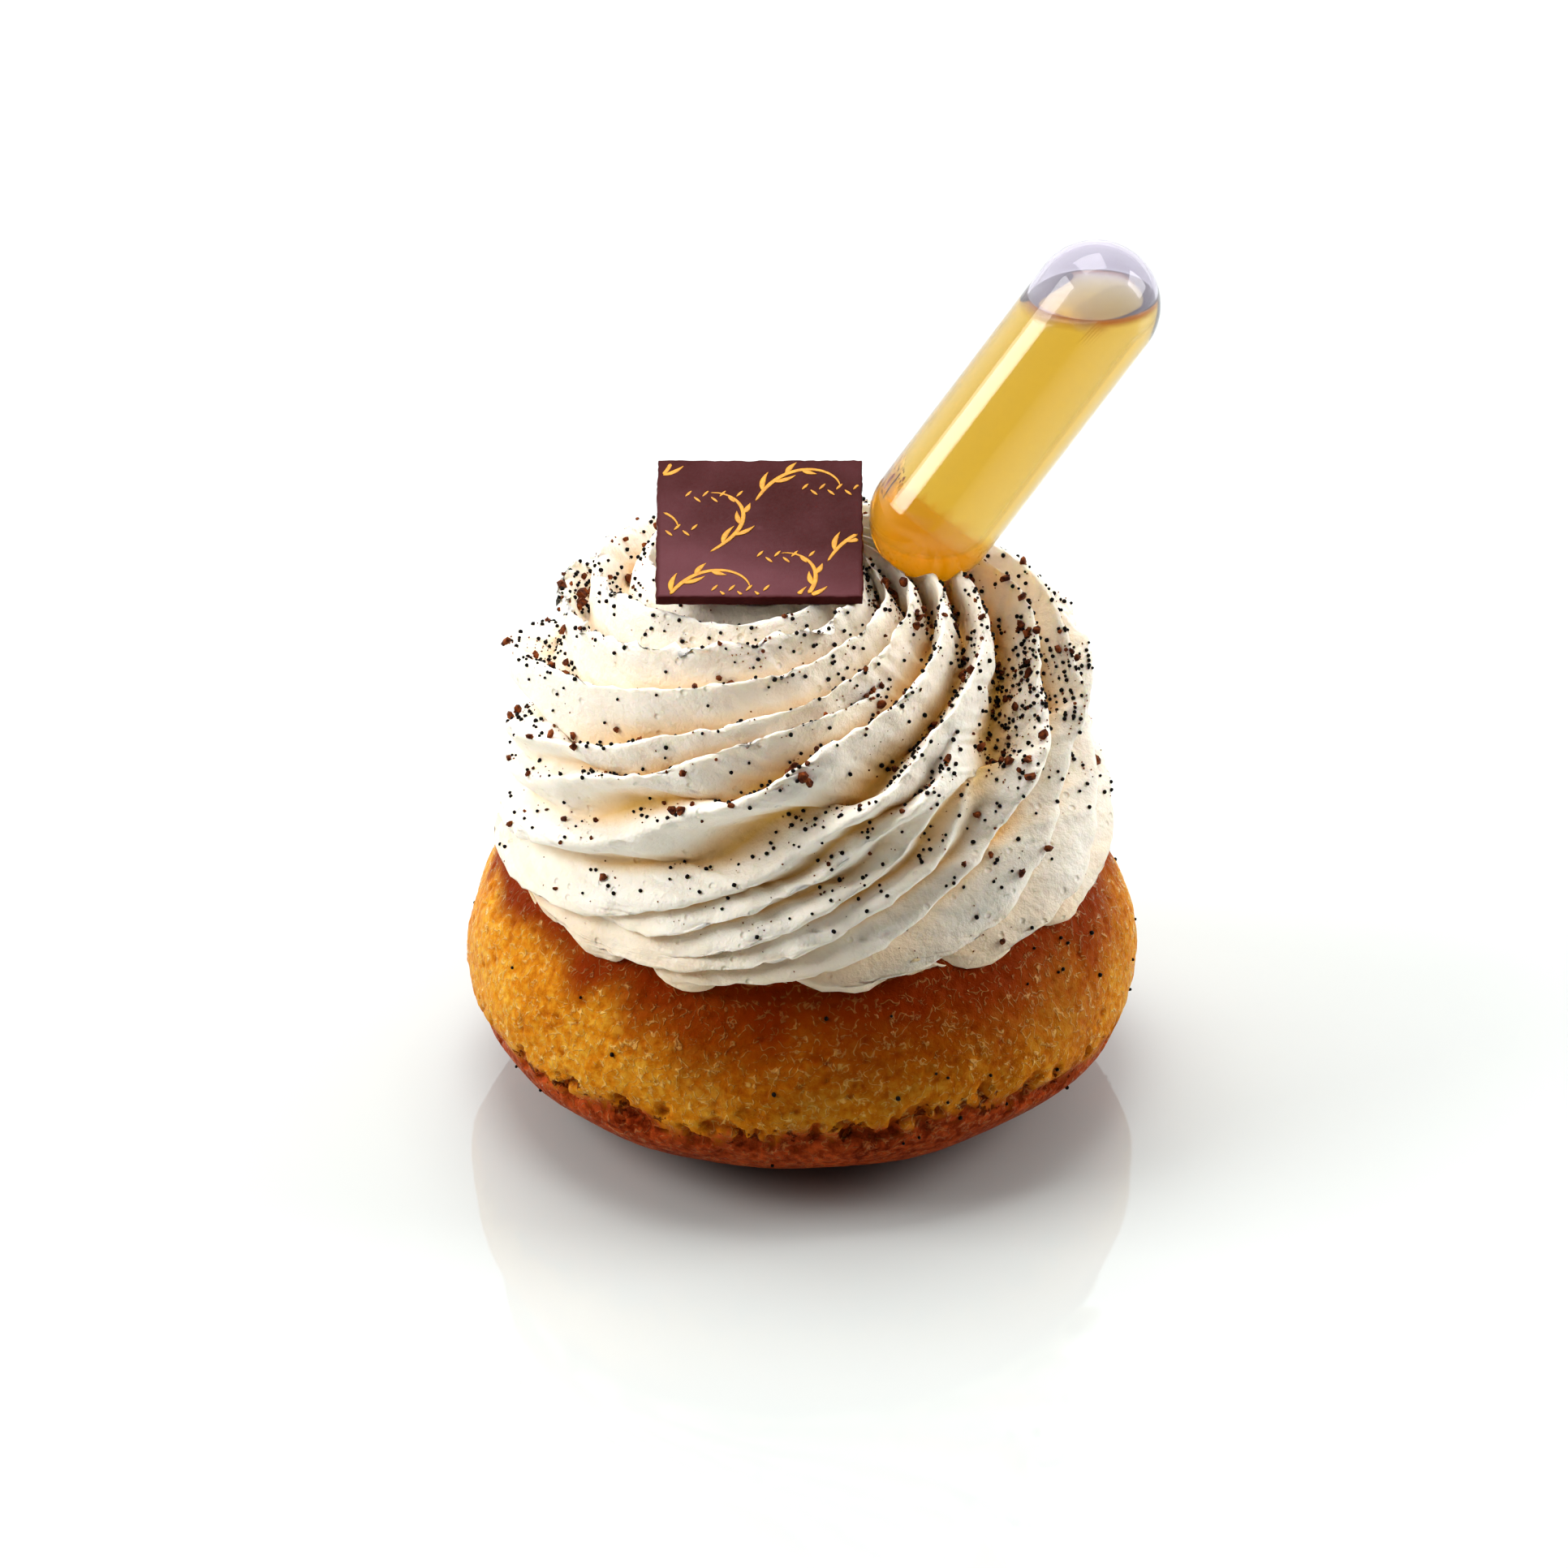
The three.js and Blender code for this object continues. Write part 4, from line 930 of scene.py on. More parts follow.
def plaque_surface():
    """Slab as rings: a square path scaled from the middle of the underside to its edge, up the cut side,
    and back to the middle of the top; cut sides are ragged, and the top is a little wavy."""
    columns = 4 * PLAQUE_EDGE_COLUMNS
    step = np.linspace(-1, 1, PLAQUE_EDGE_COLUMNS, endpoint=False)
    one = np.ones(PLAQUE_EDGE_COLUMNS)
    path_x, path_y = np.concatenate([step, one, -step, -one]), np.concatenate([-one, step, one, -step])
    square = np.stack([path_x, path_y], axis=-1)
    half, deep = PLAQUE_SIDE / 2, PLAQUE_THICKNESS / 2
    turn = np.linspace(0, math.pi / 2, PLAQUE_BEVEL_ROWS)
    bevel_reach = half - PLAQUE_BEVEL * (1 - np.sin(turn))
    bevel_height = deep - PLAQUE_BEVEL * (1 - np.cos(turn))
    side = np.linspace(-deep + PLAQUE_BEVEL, deep - PLAQUE_BEVEL, PLAQUE_SIDE_ROWS)[1:-1]
    across = np.linspace(PLAQUE_FIRST_RING, 1, PLAQUE_FACE_ROWS)[:-1] * (half - PLAQUE_BEVEL)
    level = np.full(len(across), deep)
    reach = np.concatenate([across, bevel_reach, np.full(len(side), half), bevel_reach[::-1], across[::-1]])
    height = np.concatenate([-level, -bevel_height, side, bevel_height[::-1], level])
    grid = np.concatenate([
        square[None] * reach[:, None, None], np.repeat(height[:, None, None], columns, axis=1)
    ], axis=-1)
    ragged = CUT_COARSE * lattice_noise(grid, CUT_COARSE_SIZE, seed=71)
    ragged = ragged + CUT_FINE * lattice_noise(grid, CUT_FINE_SIZE, seed=73)
    at_edge = smooth_step(half - CUT_RIM, half, reach)[:, None]
    grid[..., :2] *= (1 + (ragged - CUT_BACK) * at_edge / half)[..., None]
    on_top = smooth_step(0, deep, grid[..., 2])
    grid[..., 2] += PLAQUE_WAVE * lattice_noise(grid, PLAQUE_WAVE_SIZE, seed=75) * on_top
    # Painted sheen: paler towards the front where a light's reflection falls, none on the cut sides
    forward = -(SHEEN_SLANT * grid[..., 0] + grid[..., 1]) / half
    bloom = smooth_step(SHEEN_FROM, SHEEN_TO, forward) * (1 - at_edge)
    shade = {"bloom": np.append(bloom.ravel(), (0, SHEEN_MIDDLE))}
    points = closed_points(grid, (0, 0, -deep), (0, 0, deep))
    return from_plaque(points), closed_faces(len(reach), columns), shade


def stroke(path, width):
    """Thin closed ribbon on the plaque's top: an oval section carried along a path, with pointed ends."""
    steps = len(path)
    tangent = np.gradient(path, axis=0)
    tangent /= np.linalg.norm(tangent, axis=1, keepdims=True)
    side = np.stack([-tangent[:, 1], tangent[:, 0]], axis=-1)
    turn = np.linspace(0, 2 * math.pi, STROKE_SIDES, endpoint=False)
    flat = path[:, None] + side[:, None] * (width[:, None] * np.cos(turn)[None])[..., None]
    lift = PLAQUE_THICKNESS / 2 + PRINT_THICKNESS * (STROKE_LIFT + np.sin(turn))[None] * np.ones((steps, 1))
    grid = np.concatenate([flat, lift[..., None]], axis=-1)[1:-1]
    level = PLAQUE_THICKNESS / 2 + STROKE_LIFT * PRINT_THICKNESS
    ends = [np.append(path[k], level) for k in (0, -1)]
    return closed_points(grid, *ends), closed_faces(steps - 2, STROKE_SIDES)


def curling_path(start, heading, length, curls, steps):
    """Plane path whose heading turns at a rate from one curl to another, in degrees a millimetre."""
    rate = np.radians(np.linspace(*curls, steps)) * length
    turn = math.radians(heading) + running_total((rate[1:] + rate[:-1]) / 2) / (steps - 1)
    move = np.stack([np.cos(turn), np.sin(turn)], axis=-1) * length / (steps - 1)
    return start + running_total((move[1:] + move[:-1]) / 2)


def swell(steps, width, skew=1.0, power=1.0):
    """Half width along a stroke: half a sine wave to a power, skewed to its start, over the least width."""
    return width * np.sin(math.pi * np.linspace(0, 1, steps) ** skew) ** power + STROKE_LEAST


def sprig(start, heading, curl):
    """Leafy sprig: a stem that curls more and more, with leaves to both sides that get shorter along it."""
    stem = curling_path(start, heading, SPRIG_LENGTH, curl * np.array(STEM_CURLS), STEM_POINTS)
    strokes = [(stem, swell(STEM_POINTS, *STEM_SWELL))]
    for k, root in enumerate(LEAF_ROOTS):
        ahead = math.degrees(math.atan2(*(stem[root + 1] - stem[root])[::-1]))
        side = 1 if k % 2 == 0 else -1
        length, curls = LEAF_LENGTH - LEAF_LOSS * k, -side * np.array(LEAF_CURLS)
        leaf = curling_path(stem[root], ahead + side * LEAF_TURN, length, curls, LEAF_POINTS)
        strokes.append((leaf, swell(LEAF_POINTS, *LEAF_SWELL)))
    return strokes


def leaf_row(start):
    """Row of small slanted leaves, up and down in turn, beside the sprigs."""
    strokes = []
    for k in range(ROW_LEAVES):
        slant = ROW_SLANT if k % 2 == 0 else -ROW_SLANT
        root = start + (ROW_SPACING * k, 0)
        leaf = curling_path(root, slant, ROW_LENGTH, (ROW_CURL, -ROW_CURL), ROW_POINTS)
        strokes.append((leaf, swell(ROW_POINTS, ROW_WIDTH)))
    return strokes


def inside_plaque(path, width):
    """The first run of a path that lies on the plaque, and its widths, or nothing if it is too short."""
    inside = np.all(np.abs(path) < PLAQUE_SIDE / 2 - PRINT_MARGIN, axis=1)
    start = int(np.argmax(inside))
    rest = inside[start:]
    stop = start + (int(np.argmin(rest)) if not rest.all() else len(rest))
    if not inside[start] or stop - start <= PRINT_LEAST_POINTS:
        return None
    return path[start:stop], width[start:stop]


def gold_print():
    """Sprigs and rows of leaves repeated on a slanted lattice, cut off at the plaque's edges."""
    strokes = []
    for row in SPRIG_STEPS:
        for column in SPRIG_STEPS:
            start = SPRIG_FIRST + column * SPRIG_ACROSS + row * SPRIG_UP
            flip = 1 if (row + column) % 2 == 0 else -1
            heading = SPRIG_HEADING if flip > 0 else SPRIG_FLIPPED_HEADING
            strokes += sprig(start, heading, flip * SPRIG_CURL)
            strokes += leaf_row(start + ROW_PLACE - (0, ROW_FLIP * flip))
    kept = [inside_plaque(path, width) for path, width in strokes]
    points, faces, used = [], [[], []], 0
    for path, width in filter(None, kept):
        new_points, new_faces = stroke(path, width)
        points.append(new_points)
        for group, part in zip(faces, new_faces):
            group.append(part + used)
        used += len(new_points)
    return from_plaque(np.vstack(points)), [np.vstack(group) for group in faces]


def chocolate_material(settings):
    """Tempered dark chocolate cast on a sheet: brown with a violet bloom in patches and a painted sheen, a
    reflection painted paler towards the front, satin, its fine grain catching light, with darker matt cut
    sides, where neither reaches."""
    material, tree = new_material("tempered_dark_chocolate")
    place = add_node(tree, "TexCoord")
    cloud = add_node(tree, "TexNoise", {
        "Vector": (place, "Object"), "Scale": 1 / (7 * MM), "Detail": 4.0,
    })
    grain = add_node(tree, "TexNoise", {
        "Vector": (place, "Object"), "Scale": 1 / (0.35 * MM), "Detail": 2.0,
    })
    sheen_gradient = add_node(tree, "Attribute", attribute_name="bloom")
    # Bloom patches and the painted sheen mix the chocolate towards the paler colour
    patchy = add_node(tree, "Math", {
        0: (cloud, "Fac"), 1: 1.2, 2: (sheen_gradient, "Fac"),
    }, operation="MULTIPLY_ADD")
    bloom = add_node(tree, "MapRange", {"Value": (patchy, "Value"), "From Min": 0.5, "From Max": 1.6})
    colour = add_node(tree, "Mix", {
        "Factor": (bloom, "Result"), "A": settings.chocolate_colour, "B": settings.bloom_and_sheen_colour,
    }, data_type="RGBA")
    gloss = add_node(tree, "MapRange", {
        "Value": (grain, "Fac"), "From Min": 0.3, "From Max": 0.7, "To Min": 0.34, "To Max": 0.52,
    })
    bump = add_node(tree, "Bump", {"Height": (grain, "Fac"), "Strength": 0.2, "Distance": 0.1 * MM})
    shader = add_node(tree, "BsdfPrincipled", {
        "Base Color": (colour, "Result"), "Roughness": (gloss, "Result"), "Normal": (bump, "Normal"),
        "IOR": 1.47, "Specular IOR Level": 0.09,
    })
    add_node(tree, "OutputMaterial", {"Surface": (shader, "BSDF")})
    return material


def gold_material(settings):
    """Cocoa-butter print: deep yellow, satin, slightly uneven where the sheet let go of it."""
    material, tree = new_material("cocoa_butter_print")
    place = add_node(tree, "TexCoord")
    wear = add_node(tree, "TexNoise", {
        "Vector": (place, "Object"), "Scale": 1 / (0.5 * MM), "Detail": 3.0,
    })
    amount = add_node(tree, "MapRange", {"Value": (wear, "Fac"), "From Min": 0.35, "From Max": 0.75})
    colour = add_node(tree, "Mix", {
        "Factor": (amount, "Result"), "A": settings.gold_colour, "B": settings.worn_gold_colour,
    }, data_type="RGBA")
    shader = add_node(tree, "BsdfPrincipled", {
        "Base Color": (colour, "Result"), "Roughness": 0.42, "IOR": 1.45,
    })
    add_node(tree, "OutputMaterial", {"Surface": (shader, "BSDF")})
    return material


# Pipette


def pipette_axes():
    """Length of the capsule's straight part, its direction, and two directions square to it."""
    axis = PIPETTE_HIGH - PIPETTE_LOW
    span = np.linalg.norm(axis)
    axis = axis / span
    side = np.cross(axis, (0, 1, 0))
    side /= np.linalg.norm(side)
    return span, axis, side, np.cross(axis, side)


def turned_on_pipette(radius, height, columns):
    """A profile of radius and height turned about the pipette's axis, as rings in the part's frame."""
    _, axis, side, front = pipette_axes()
    turn = np.linspace(0, 2 * math.pi, columns, endpoint=False)
    spoke = np.cos(turn)[:, None] * side + np.sin(turn)[:, None] * front
    return PIPETTE_LOW + height[:, None, None] * axis + radius[:, None, None] * spoke[None]


def capsule_profile(radius, stem_radius):
    """Radius and height from a stem up a capsule to its top: an arc, a straight side, a quarter circle."""
    span = pipette_axes()[0]
    low = np.linspace(math.acos(stem_radius / radius), 0, PIPETTE_ARC_STEPS)
    high = np.linspace(0, math.pi / 2, PIPETTE_ARC_STEPS)
    straight = np.linspace(0, span, PIPETTE_STRAIGHT_STEPS)[1:-1]
    return (
        np.concatenate([radius * np.cos(low), np.full(len(straight), radius), radius * np.cos(high)]),
        np.concatenate([-radius * np.sin(low), straight, span + radius * np.sin(high)]),
    )


def pipette_surface():
    """Clear wall as rings: down the inside from the top to the stem's tip, then up the outside to the top."""
    tip = -PIPETTE_RADIUS - STEM_LENGTH
    inner_radius, inner_height = capsule_profile(PIPETTE_RADIUS - PIPETTE_WALL, STEM_BORE_RADIUS)
    outer_radius, outer_height = capsule_profile(PIPETTE_RADIUS, STEM_RADIUS)
    radius = np.concatenate([inner_radius[:-1][::-1], [STEM_BORE_RADIUS, STEM_RADIUS], outer_radius[:-1]])
    height = np.concatenate([inner_height[:-1][::-1], [tip, tip], outer_height[:-1]])
    grid = turned_on_pipette(radius, height, PIPETTE_COLUMNS)
    axis = pipette_axes()[1]
    poles = [PIPETTE_LOW + tall * axis for tall in (inner_height[-1], outer_height[-1])]
    air = smooth_step(RUM_LEVEL, RUM_LEVEL + MENISCUS_BAND, grid[..., 2])
    shade = {"air": np.append(air.ravel(), (1, 1))}
    return closed_points(grid, *poles), closed_faces(len(radius), PIPETTE_COLUMNS), shade


def rum_surface():
    """Drink as rings: from the lowest point up the wall to the level on each side, where it climbs a little,
    then inwards over the level to its middle."""
    radius = PIPETTE_RADIUS - PIPETTE_WALL + RUM_INTO_WALL
    wall = turned_on_pipette(*capsule_profile(radius, RUM_FIRST_RING * radius), PIPETTE_COLUMNS)
    brim = RUM_LEVEL + MENISCUS_HEIGHT
    hit = np.argmax(wall[..., 2] > brim, axis=0)
    column = np.arange(PIPETTE_COLUMNS)
    low, high = wall[hit - 1, column, 2], wall[hit, column, 2]
    end = hit - 1 + (brim - low) / (high - low)
    place = np.linspace(0, 1, RUM_WALL_ROWS)[:, None] * end[None]
    part = np.minimum(place.astype(int), len(wall) - 2)
    share = (place - part)[..., None]
    side = wall[part, column[None]] * (1 - share) + wall[part + 1, column[None]] * share
    ring = side[-1]
    middle = ring.mean(axis=0)
    inward = np.concatenate([
        np.linspace(0, RUM_RIM_SHARE, RUM_RIM_ROWS)[1:], np.linspace(RUM_RIM_SHARE, 1, RUM_LEVEL_ROWS)[1:-1]
    ])
    level = ring[None] + (middle - ring)[None] * inward[:, None, None]
    gap = np.linalg.norm((ring - middle)[..., :2], axis=-1)[None] * inward[:, None]
    climb = np.exp(-gap / MENISCUS_REACH)
    level[..., 2] = RUM_LEVEL + MENISCUS_HEIGHT * climb
    grid = np.concatenate([side, level])
    axis = pipette_axes()[1]
    # Painted light: the dome at the foot and the line at the level are marked for their painted lens-like
    # colour
    dome = smooth_step(DOME_EDGE, -DOME_EDGE, (grid - PIPETTE_LOW) @ axis)
    rim = np.concatenate([smooth_step(RUM_LEVEL - MENISCUS_BAND, RUM_LEVEL, side[..., 2]), climb])
    shade = {"dome": np.append(dome.ravel(), (1, 0)), "rim": np.append(rim.ravel(), (0, 0))}
    middle[2] = RUM_LEVEL
    points = closed_points(grid, PIPETTE_LOW - radius * axis, middle)
    return points, closed_faces(len(grid), PIPETTE_COLUMNS), shade


def clear_plastic_material(settings):
    """Blown clear plastic: see-through, glossy and a little wavy from the mould, with a cool milky haze where
    it is dry inside, above the drink."""
    material, tree = new_material("clear_blown_plastic")
    place = add_node(tree, "TexCoord")
    wave = add_node(tree, "TexNoise", {"Vector": (place, "Object"), "Scale": 1 / (5 * MM), "Detail": 1.0})
    bump = add_node(tree, "Bump", {"Height": (wave, "Fac"), "Strength": 0.12, "Distance": 0.3 * MM})
    air = add_node(tree, "Attribute", attribute_name="air")
    clear = add_node(tree, "MapRange", {"Value": (air, "Fac"), "To Min": 0.98, "To Max": 0.76})
    colour = add_node(tree, "Mix", {
        "Factor": (air, "Fac"), "A": settings.plastic_colour, "B": settings.haze_colour,
    }, data_type="RGBA")
    shader = add_node(tree, "BsdfPrincipled", {
        "Base Color": (colour, "Result"), "Transmission Weight": (clear, "Result"),
        "Normal": (bump, "Normal"), "IOR": 1.08, "Roughness": 0.03, "Coat Weight": 0.6, "Coat IOR": 1.5,
        "Coat Roughness": 0.03,
    })
    add_node(tree, "OutputMaterial", {"Surface": (shader, "BSDF")})
    return material


def rum_material(settings):
    """Golden rum: clear, and deeper in colour the more of it light passes through. The dome at the foot and
    the line at the level gather light like a lens; that light is painted into their colour, so they look deep
    orange and brown."""
    material, tree = new_material("golden_rum")
    dome = add_node(tree, "Attribute", attribute_name="dome")
    rim = add_node(tree, "Attribute", attribute_name="rim")
    foot = add_node(tree, "Mix", {
        "Factor": (dome, "Fac"), "A": (1, 1, 1, 1), "B": settings.dome_colour,
    }, data_type="RGBA")
    clear = add_node(tree, "MapRange", {"Value": (dome, "Fac"), "To Min": 1.0, "To Max": 0.84})
    colour = add_node(tree, "Mix", {
        "Factor": (rim, "Fac"), "A": (foot, "Result"), "B": settings.meniscus_colour,
    }, data_type="RGBA")
    shader = add_node(tree, "BsdfPrincipled", {
        "Base Color": (colour, "Result"), "Transmission Weight": (clear, "Result"), "IOR": 1.36,
        "Roughness": 0.0,
    })
    depth = add_node(tree, "VolumeAbsorption", {
        "Color": settings.rum_colour, "Density": settings.rum_density,
    })
    add_node(tree, "OutputMaterial", {"Surface": (shader, "BSDF"), "Volume": (depth, "Volume")})
    return material


# Settings that a user would change


class RumBabaCakeSettings(bpy.types.PropertyGroup):
    """Colours of the soaked cake."""

    crumb_colour: colour_property("Crumb", "Golden dough soaked in syrup", "#CE8216")
    bright_colour: colour_property("Bright crumb", "Dough where it is thinnest and driest", "#E2AC40")
    # Painted glint on the thin pore walls
    wall_glint_colour: colour_property("Pore walls", "Thin walls between pores, with light in them", "#F4CA7C")
    glint_colour: colour_property("Glints", "Light off the syrup", "#FFDA98")
    # Darkest tone of the crumb, and the painted shade inside the pores
    pore_shade_colour: colour_property("Pores", "Inside of the open pores", "#A04E06")
    # Painted shade inside the torn holes
    hole_shade_colour: colour_property("Torn holes", "Inside of the holes along the torn lip", "#561802")
    # Syrup darkens the dough next to the cream, and painted shade under the cream's overhang and at the front
    # darkens it further
    syrup_and_shade_colour: colour_property("Syrup", "Dough next to the cream, full of syrup", "#8A3200")
    crust_colour: colour_property("Crust", "Baked crust round the foot", "#C25A2A")
    crust_dark_colour: colour_property("Dark crust", "Crust where it baked darkest", "#6A2004")


class RumBabaCreamSettings(bpy.types.PropertyGroup):
    """Size and colours of the cream and what is strewn on it."""

    ridge_depth: length_property("Ridge depth", "Depth of a valley of usual width", 5.2)
    cream_colour: colour_property("Cream", "Crests of the whipped cream", "#FBF2E4")
    # Painted shade in the valleys of the cream
    hollow_shade_colour: colour_property("Hollows", "Deep valleys of the whipped cream", "#E6B862")
    seed_count: count_property("Seeds", "Vanilla seeds on the cream", 2500)
    cake_seed_count: count_property("Seeds on cake", "Vanilla seeds on the cake", 90)
    crumb_count: count_property("Crumbs", "Chocolate crumbs on the cream", 560)
    dust_count: count_property("Dust", "Fine chocolate dust on the cream", 2600)
    seed_radius: length_property("Seed radius", "Mean radius of a vanilla seed", 0.24)
    crumb_radius: length_property("Crumb radius", "Radius of a large chocolate crumb", 0.85)
    seed_colour: colour_property("Seed", "Vanilla seeds", "#0D0806")
    bright_seed_colour: colour_property("Bright seed", "Paler grain of the seeds", "#1E1410")
    crumb_colour: colour_property("Crumb", "Chocolate crumbs", "#4A210F")
    bright_crumb_colour: colour_property("Bright crumb", "Paler grain of the crumbs", "#9C5426")
    dust_colour: colour_property("Dust", "Fine chocolate dust", "#6B3D1E")
    bright_dust_colour: colour_property("Bright dust", "Paler grain of the dust", "#9A6636")


class RumBabaToppingSettings(bpy.types.PropertyGroup):
    """Colours of the plaque, the pipette and the drink."""

    chocolate_colour: colour_property("Chocolate", "Tempered dark chocolate", "#491817")
    # Bloom in patches, and a painted sheen where a light's reflection falls
    bloom_and_sheen_colour: colour_property("Bloom", "Pale bloom on the chocolate", "#6E4046")
    gold_colour: colour_property("Gold", "Yellow print on the plaque", "#E6A41C")
    worn_gold_colour: colour_property("Worn gold", "Print where it is thin", "#C4841A")
    plastic_colour: colour_property("Plastic", "Clear wall of the pipette", "#F7F6FB")
    haze_colour: colour_property("Haze", "Milky wall above the drink", "#E2DEEA")
    rum_colour: colour_property("Rum", "Colour that the drink lets through", "#FBE946")
    # Painted light: the deep gold of the dome and the brown line at the level stand in for light gathered
    # like a lens
    dome_colour: colour_property("Rum in the dome", "Deep gold in the dome at the foot", "#FFC808")
    meniscus_colour: colour_property("Rum at its level", "Brown line along the wall", "#A85A0A")
    rum_density: FloatProperty(
        name="Rum density", description="Share of light that a metre of the drink takes", default=235.0, min=0
    )


class RumBabaStageSettings(bpy.types.PropertyGroup):
    """Light, floor and camera."""

    floor_colour: colour_property("Floor", "Pale glossy floor", "#D0D4D2")
    back_sky: FloatProperty(name="Sky behind", description="Soft light from behind", default=1.1, min=0)
    front_sky: FloatProperty(name="Sky in front", description="Soft light from in front", default=0.08, min=0)
    key_power: FloatProperty(name="Key", description="Soft light at the left", default=7.0, unit="POWER")
    rim_power: FloatProperty(name="Rim", description="Soft light at the right", default=4.7, unit="POWER")
    top_power: FloatProperty(name="Top", description="Soft light overhead, behind", default=6.5, unit="POWER")
    camera_distance: length_property("Camera distance", "From the point looked at", 850)
    camera_elevation: FloatProperty(
        name="Camera elevation", description="Above the horizon", subtype="ANGLE", default=math.radians(29)
    )
    camera_lens: FloatProperty(name="Lens", description="Focal length", unit="CAMERA", default=172.6)


# Operators


class RUMBABA_OT_cake(bpy.types.Operator):
    """Makes the soaked cake with its crumb, its torn lip and its crust"""

    bl_idname = "rum_baba.cake"
    bl_label = "Cake"

    def execute(self, context):
        points, shade = cake_surface()
        material = cake_material(context.scene.rum_baba_cake)
        faces = closed_faces(CAKE_ROWS, CAKE_COLUMNS)
        add_piece("soaked_cake", points, faces, material, "cake", shade)
        return {"FINISHED"}


class RUMBABA_OT_cream(bpy.types.Operator):
    """Makes the piped swirl of whipped cream"""

    bl_idname = "rum_baba.cream"
    bl_label = "Cream"

    def execute(self, context):
        settings = context.scene.rum_baba_cream
        grid, warmth = swirl_surface(settings.ridge_depth / MM)
        points = closed_points(grid, (0, 0, SWIRL_FLOOR), (0, 0, SWIRL_PEAK))
        shade = {"warmth": np.append(warmth.ravel(), (0, 0))}
        material = cream_material(settings)
        faces = closed_faces(*grid.shape[:2])
        add_piece("piped_cream", points, faces, material, "cream_swirl", shade)
        return {"FINISHED"}


class RUMBABA_OT_specks(bpy.types.Operator):
    """Strews vanilla seeds, chocolate crumbs and dust over the cream, and a few seeds on the cake"""

    bl_idname = "rum_baba.specks"
    bl_label = "Seeds and crumbs"

    def execute(self, context):
        settings = context.scene.rum_baba_cream
        cream, cake = bpy.data.objects.get("piped_cream"), bpy.data.objects.get("soaked_cake")
        if cream is None or cake is None:
            raise RuntimeError("the cake and the cream are made before what lies on them")
        on_cream, on_cake = face_arrays(cream), face_arrays(cake)
        self.strew_seeds(settings, on_cream, on_cake)
        self.strew_chocolate(settings, on_cream)
        return {"FINISHED"}

    def strew_seeds(self, settings, on_cream, on_cake):
        """Seeds lie alone and in small clumps on the cream, and thinly on the cake, most at the right."""
        rng = np.random.default_rng(seed=211)
        likelihood = cream_likelihood(*on_cream[:2], SEED_CLUMPS)
        above = scattered(rng, on_cream, likelihood, settings.seed_count)
        x, _, z = on_cake[0].T
        likelihood = smooth_step(*CAKE_SEEDS_FOOT, z) * smooth_step(*CAKE_SEEDS_TOP, z)
        likelihood = likelihood * at_least(CAKE_SEEDS_LEFT, smooth_step(*CAKE_SEEDS_RIGHT, x))
        below = scattered(rng, on_cake, likelihood, settings.cake_seed_count)
        spots = [np.vstack(pair) for pair in zip(above, below)]
        radii = settings.seed_radius / MM * rng.uniform(*SEED_SIZES, len(spots[0]))
        colours = settings.seed_colour, settings.bright_seed_colour
        material = speck_material("vanilla_seed", *colours, size=0.5, roughness=0.45)
        add_specks(rng, "vanilla_seeds", spots, radii, SEED_LIFT, SEED_FORM, material, smooth=True)

    def strew_chocolate(self, settings, on_cream):
        """Crumbs are sharp and uneven, a few large and most small; dust is finer and browner."""
        rng = np.random.default_rng(seed=223)
        likelihood = cream_likelihood(*on_cream[:2], CRUMB_CLUMPS)
        spots = scattered(rng, on_cream, likelihood, settings.crumb_count)
        sizes = at_least(CRUMB_LEAST, rng.uniform(0, 1, len(spots[0])) ** CRUMB_POWER)
        radii = settings.crumb_radius / MM * sizes
        colours = settings.crumb_colour, settings.bright_crumb_colour
        material = speck_material("chocolate_crumb", *colours, size=0.7, roughness=0.5)
        add_specks(rng, "chocolate_crumbs", spots, radii, CRUMB_LIFT, CRUMB_FORM, material, smooth=False)
        likelihood = cream_likelihood(*on_cream[:2], DUST_CLUMPS)
        spots = scattered(rng, on_cream, likelihood, settings.dust_count)
        radii = rng.uniform(*DUST_SIZES, len(spots[0]))
        colours = settings.dust_colour, settings.bright_dust_colour
        material = speck_material("chocolate_dust", *colours, size=0.4, roughness=0.6)
        add_specks(rng, "chocolate_dust", spots, radii, DUST_LIFT, DUST_FORM, material, smooth=False)


class RUMBABA_OT_plaque(bpy.types.Operator):
    """Makes the chocolate plaque and the yellow print on it"""

    bl_idname = "rum_baba.plaque"
    bl_label = "Plaque"

    def execute(self, context):
        settings = context.scene.rum_baba_topping
        points, faces, shade = plaque_surface()
        add_piece("chocolate_plaque", points, faces, chocolate_material(settings), "plaque", shade)
        points, faces = gold_print()
        add_piece("plaque_print", points, faces, gold_material(settings))
        return {"FINISHED"}


class RUMBABA_OT_pipette(bpy.types.Operator):
    """Makes the clear pipette and the rum in it"""

    bl_idname = "rum_baba.pipette"
    bl_label = "Pipette and rum"

    def execute(self, context):
        settings = context.scene.rum_baba_topping
        points, faces, shade = pipette_surface()
        material = clear_plastic_material(settings)
        add_piece("clear_pipette", points, faces, material, "pipette", shade)
        points, faces, shade = rum_surface()
        add_piece("rum_drink", points, faces, rum_material(settings), "rum", shade)
        return {"FINISHED"}


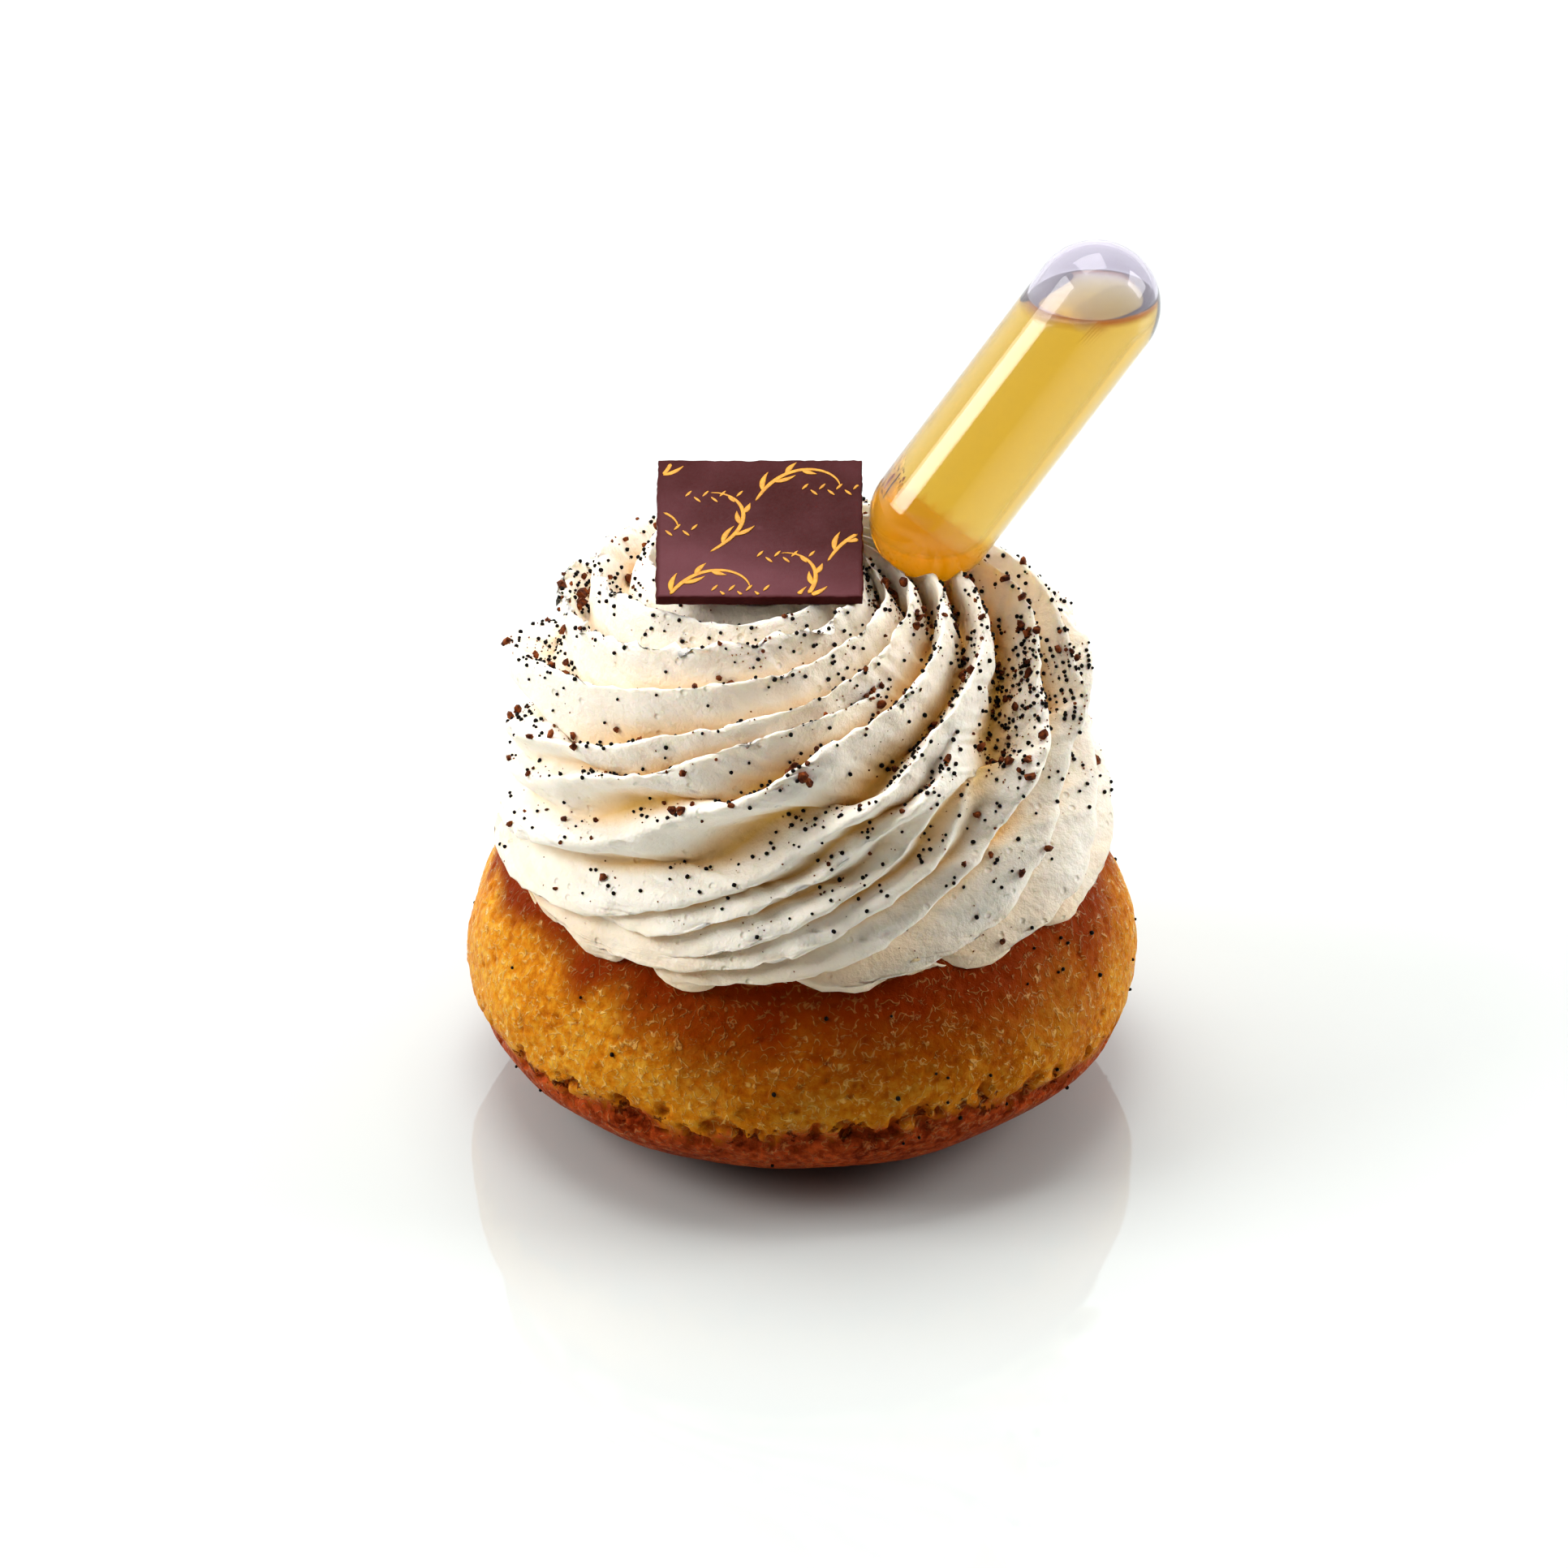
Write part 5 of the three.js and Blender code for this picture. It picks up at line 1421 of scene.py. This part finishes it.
class RUMBABA_OT_stage(bpy.types.Operator):
    """Makes the pale floor, the soft light and the camera"""

    bl_idname = "rum_baba.stage"
    bl_label = "Stage"

    def execute(self, context):
        settings = context.scene.rum_baba_stage
        self.lay_floor(context, settings)
        self.light(context, settings)
        self.aim_camera(context, settings)
        return {"FINISHED"}

    def lay_floor(self, context, settings):
        """A wide pale floor, glossy enough to mirror the cake faintly."""
        mesh = bpy.data.meshes.new("floor")
        sides = ((-1, -1), (1, -1), (1, 1), (-1, 1))
        corners = [(FLOOR_HALF * x, FLOOR_HALF * y, -FLOOR_DROP) for x, y in sides]
        mesh.from_pydata(corners, [], [(0, 1, 2, 3)])
        floor = bpy.data.objects.new("floor", mesh)
        context.scene.collection.objects.link(floor)
        material, tree = new_material("pale_glossy_floor")
        shader = add_node(tree, "BsdfPrincipled", {
            "Base Color": settings.floor_colour, "Roughness": 0.035, "IOR": 1.6,
        })
        add_node(tree, "OutputMaterial", {"Surface": (shader, "BSDF")})
        mesh.materials.append(material)

    def light(self, context, settings):
        """A white studio that is brighter behind than in front, with soft lights left, right and overhead."""
        world = bpy.data.worlds.new("studio")
        world.use_nodes = True
        tree = world.node_tree
        tree.nodes.clear()
        place = add_node(tree, "TexCoord")
        parts = add_node(tree, "SeparateXYZ", {"Vector": (place, "Generated")})
        strength = add_node(tree, "MapRange", {
            "Value": (parts, "Y"), "From Min": SKY_FRONT, "From Max": SKY_BACK, "To Min": settings.front_sky,
            "To Max": settings.back_sky,
        }, interpolation_type="SMOOTHSTEP")
        background = add_node(tree, "Background", {
            "Strength": (strength, "Result"), "Color": (1, 1, 1, 1),
        })
        add_node(tree, "OutputWorld", {"Surface": (background, "Background")})
        context.scene.world = world
        # More contrast than the plain transform gives the crumb and the hollows of the cream their depth
        context.scene.view_settings.view_transform = "Standard"
        context.scene.view_settings.look = "Medium High Contrast"
        for name, (place, side) in LAMPS.items():
            lamp = bpy.data.lights.new(name, "AREA")
            lamp.size = side
            lamp.energy = getattr(settings, f"{name}_power")
            holder = bpy.data.objects.new(name, lamp)
            holder.location = place
            holder.rotation_euler = (LAMP_TARGET - Vector(place)).to_track_quat("-Z", "Y").to_euler()
            context.scene.collection.objects.link(holder)

    def aim_camera(self, context, settings):
        """Camera in front of the object, looking down at its middle."""
        lens = bpy.data.cameras.new("camera")
        lens.lens = settings.camera_lens
        lens.sensor_width = SENSOR_WIDTH
        camera = bpy.data.objects.new("camera", lens)
        back = Vector((0, -math.cos(settings.camera_elevation), math.sin(settings.camera_elevation)))
        camera.location = CAMERA_TARGET + settings.camera_distance * back
        camera.rotation_euler = (-back).to_track_quat("-Z", "Y").to_euler()
        context.scene.collection.objects.link(camera)
        context.scene.camera = camera


class RUMBABA_PT_sidebar(bpy.types.Panel):
    """Lists the steps that make the rum baba, with their settings"""

    bl_label = "Rum baba"
    bl_space_type = "VIEW_3D"
    bl_region_type = "UI"
    bl_category = "Rum baba"

    def draw(self, context):
        for operator in OPERATORS:
            self.layout.operator(operator.bl_idname)
        for name, group in SETTINGS.items():
            box = self.layout.box()
            for key in group.__annotations__:
                box.prop(getattr(context.scene, name), key)


SETTINGS = {
    "rum_baba_cake": RumBabaCakeSettings,
    "rum_baba_cream": RumBabaCreamSettings,
    "rum_baba_topping": RumBabaToppingSettings,
    "rum_baba_stage": RumBabaStageSettings,
}
OPERATORS = (
    RUMBABA_OT_cake, RUMBABA_OT_cream, RUMBABA_OT_specks,
    RUMBABA_OT_plaque, RUMBABA_OT_pipette, RUMBABA_OT_stage,
)


def register():
    """Registers the settings, the operators and the panel."""
    for cls in (*SETTINGS.values(), *OPERATORS, RUMBABA_PT_sidebar):
        bpy.utils.register_class(cls)
    for name, group in SETTINGS.items():
        setattr(bpy.types.Scene, name, PointerProperty(type=group))


def unregister():
    """Takes the settings, the operators and the panel away again."""
    for name in SETTINGS:
        delattr(bpy.types.Scene, name)
    for cls in reversed((*SETTINGS.values(), *OPERATORS, RUMBABA_PT_sidebar)):
        bpy.utils.unregister_class(cls)


def main():
    """Makes every piece in order."""
    register()
    bpy.ops.rum_baba.cake()
    bpy.ops.rum_baba.cream()
    bpy.ops.rum_baba.specks()
    bpy.ops.rum_baba.plaque()
    bpy.ops.rum_baba.pipette()
    bpy.ops.rum_baba.stage()


if __name__ == "__main__":
    main()
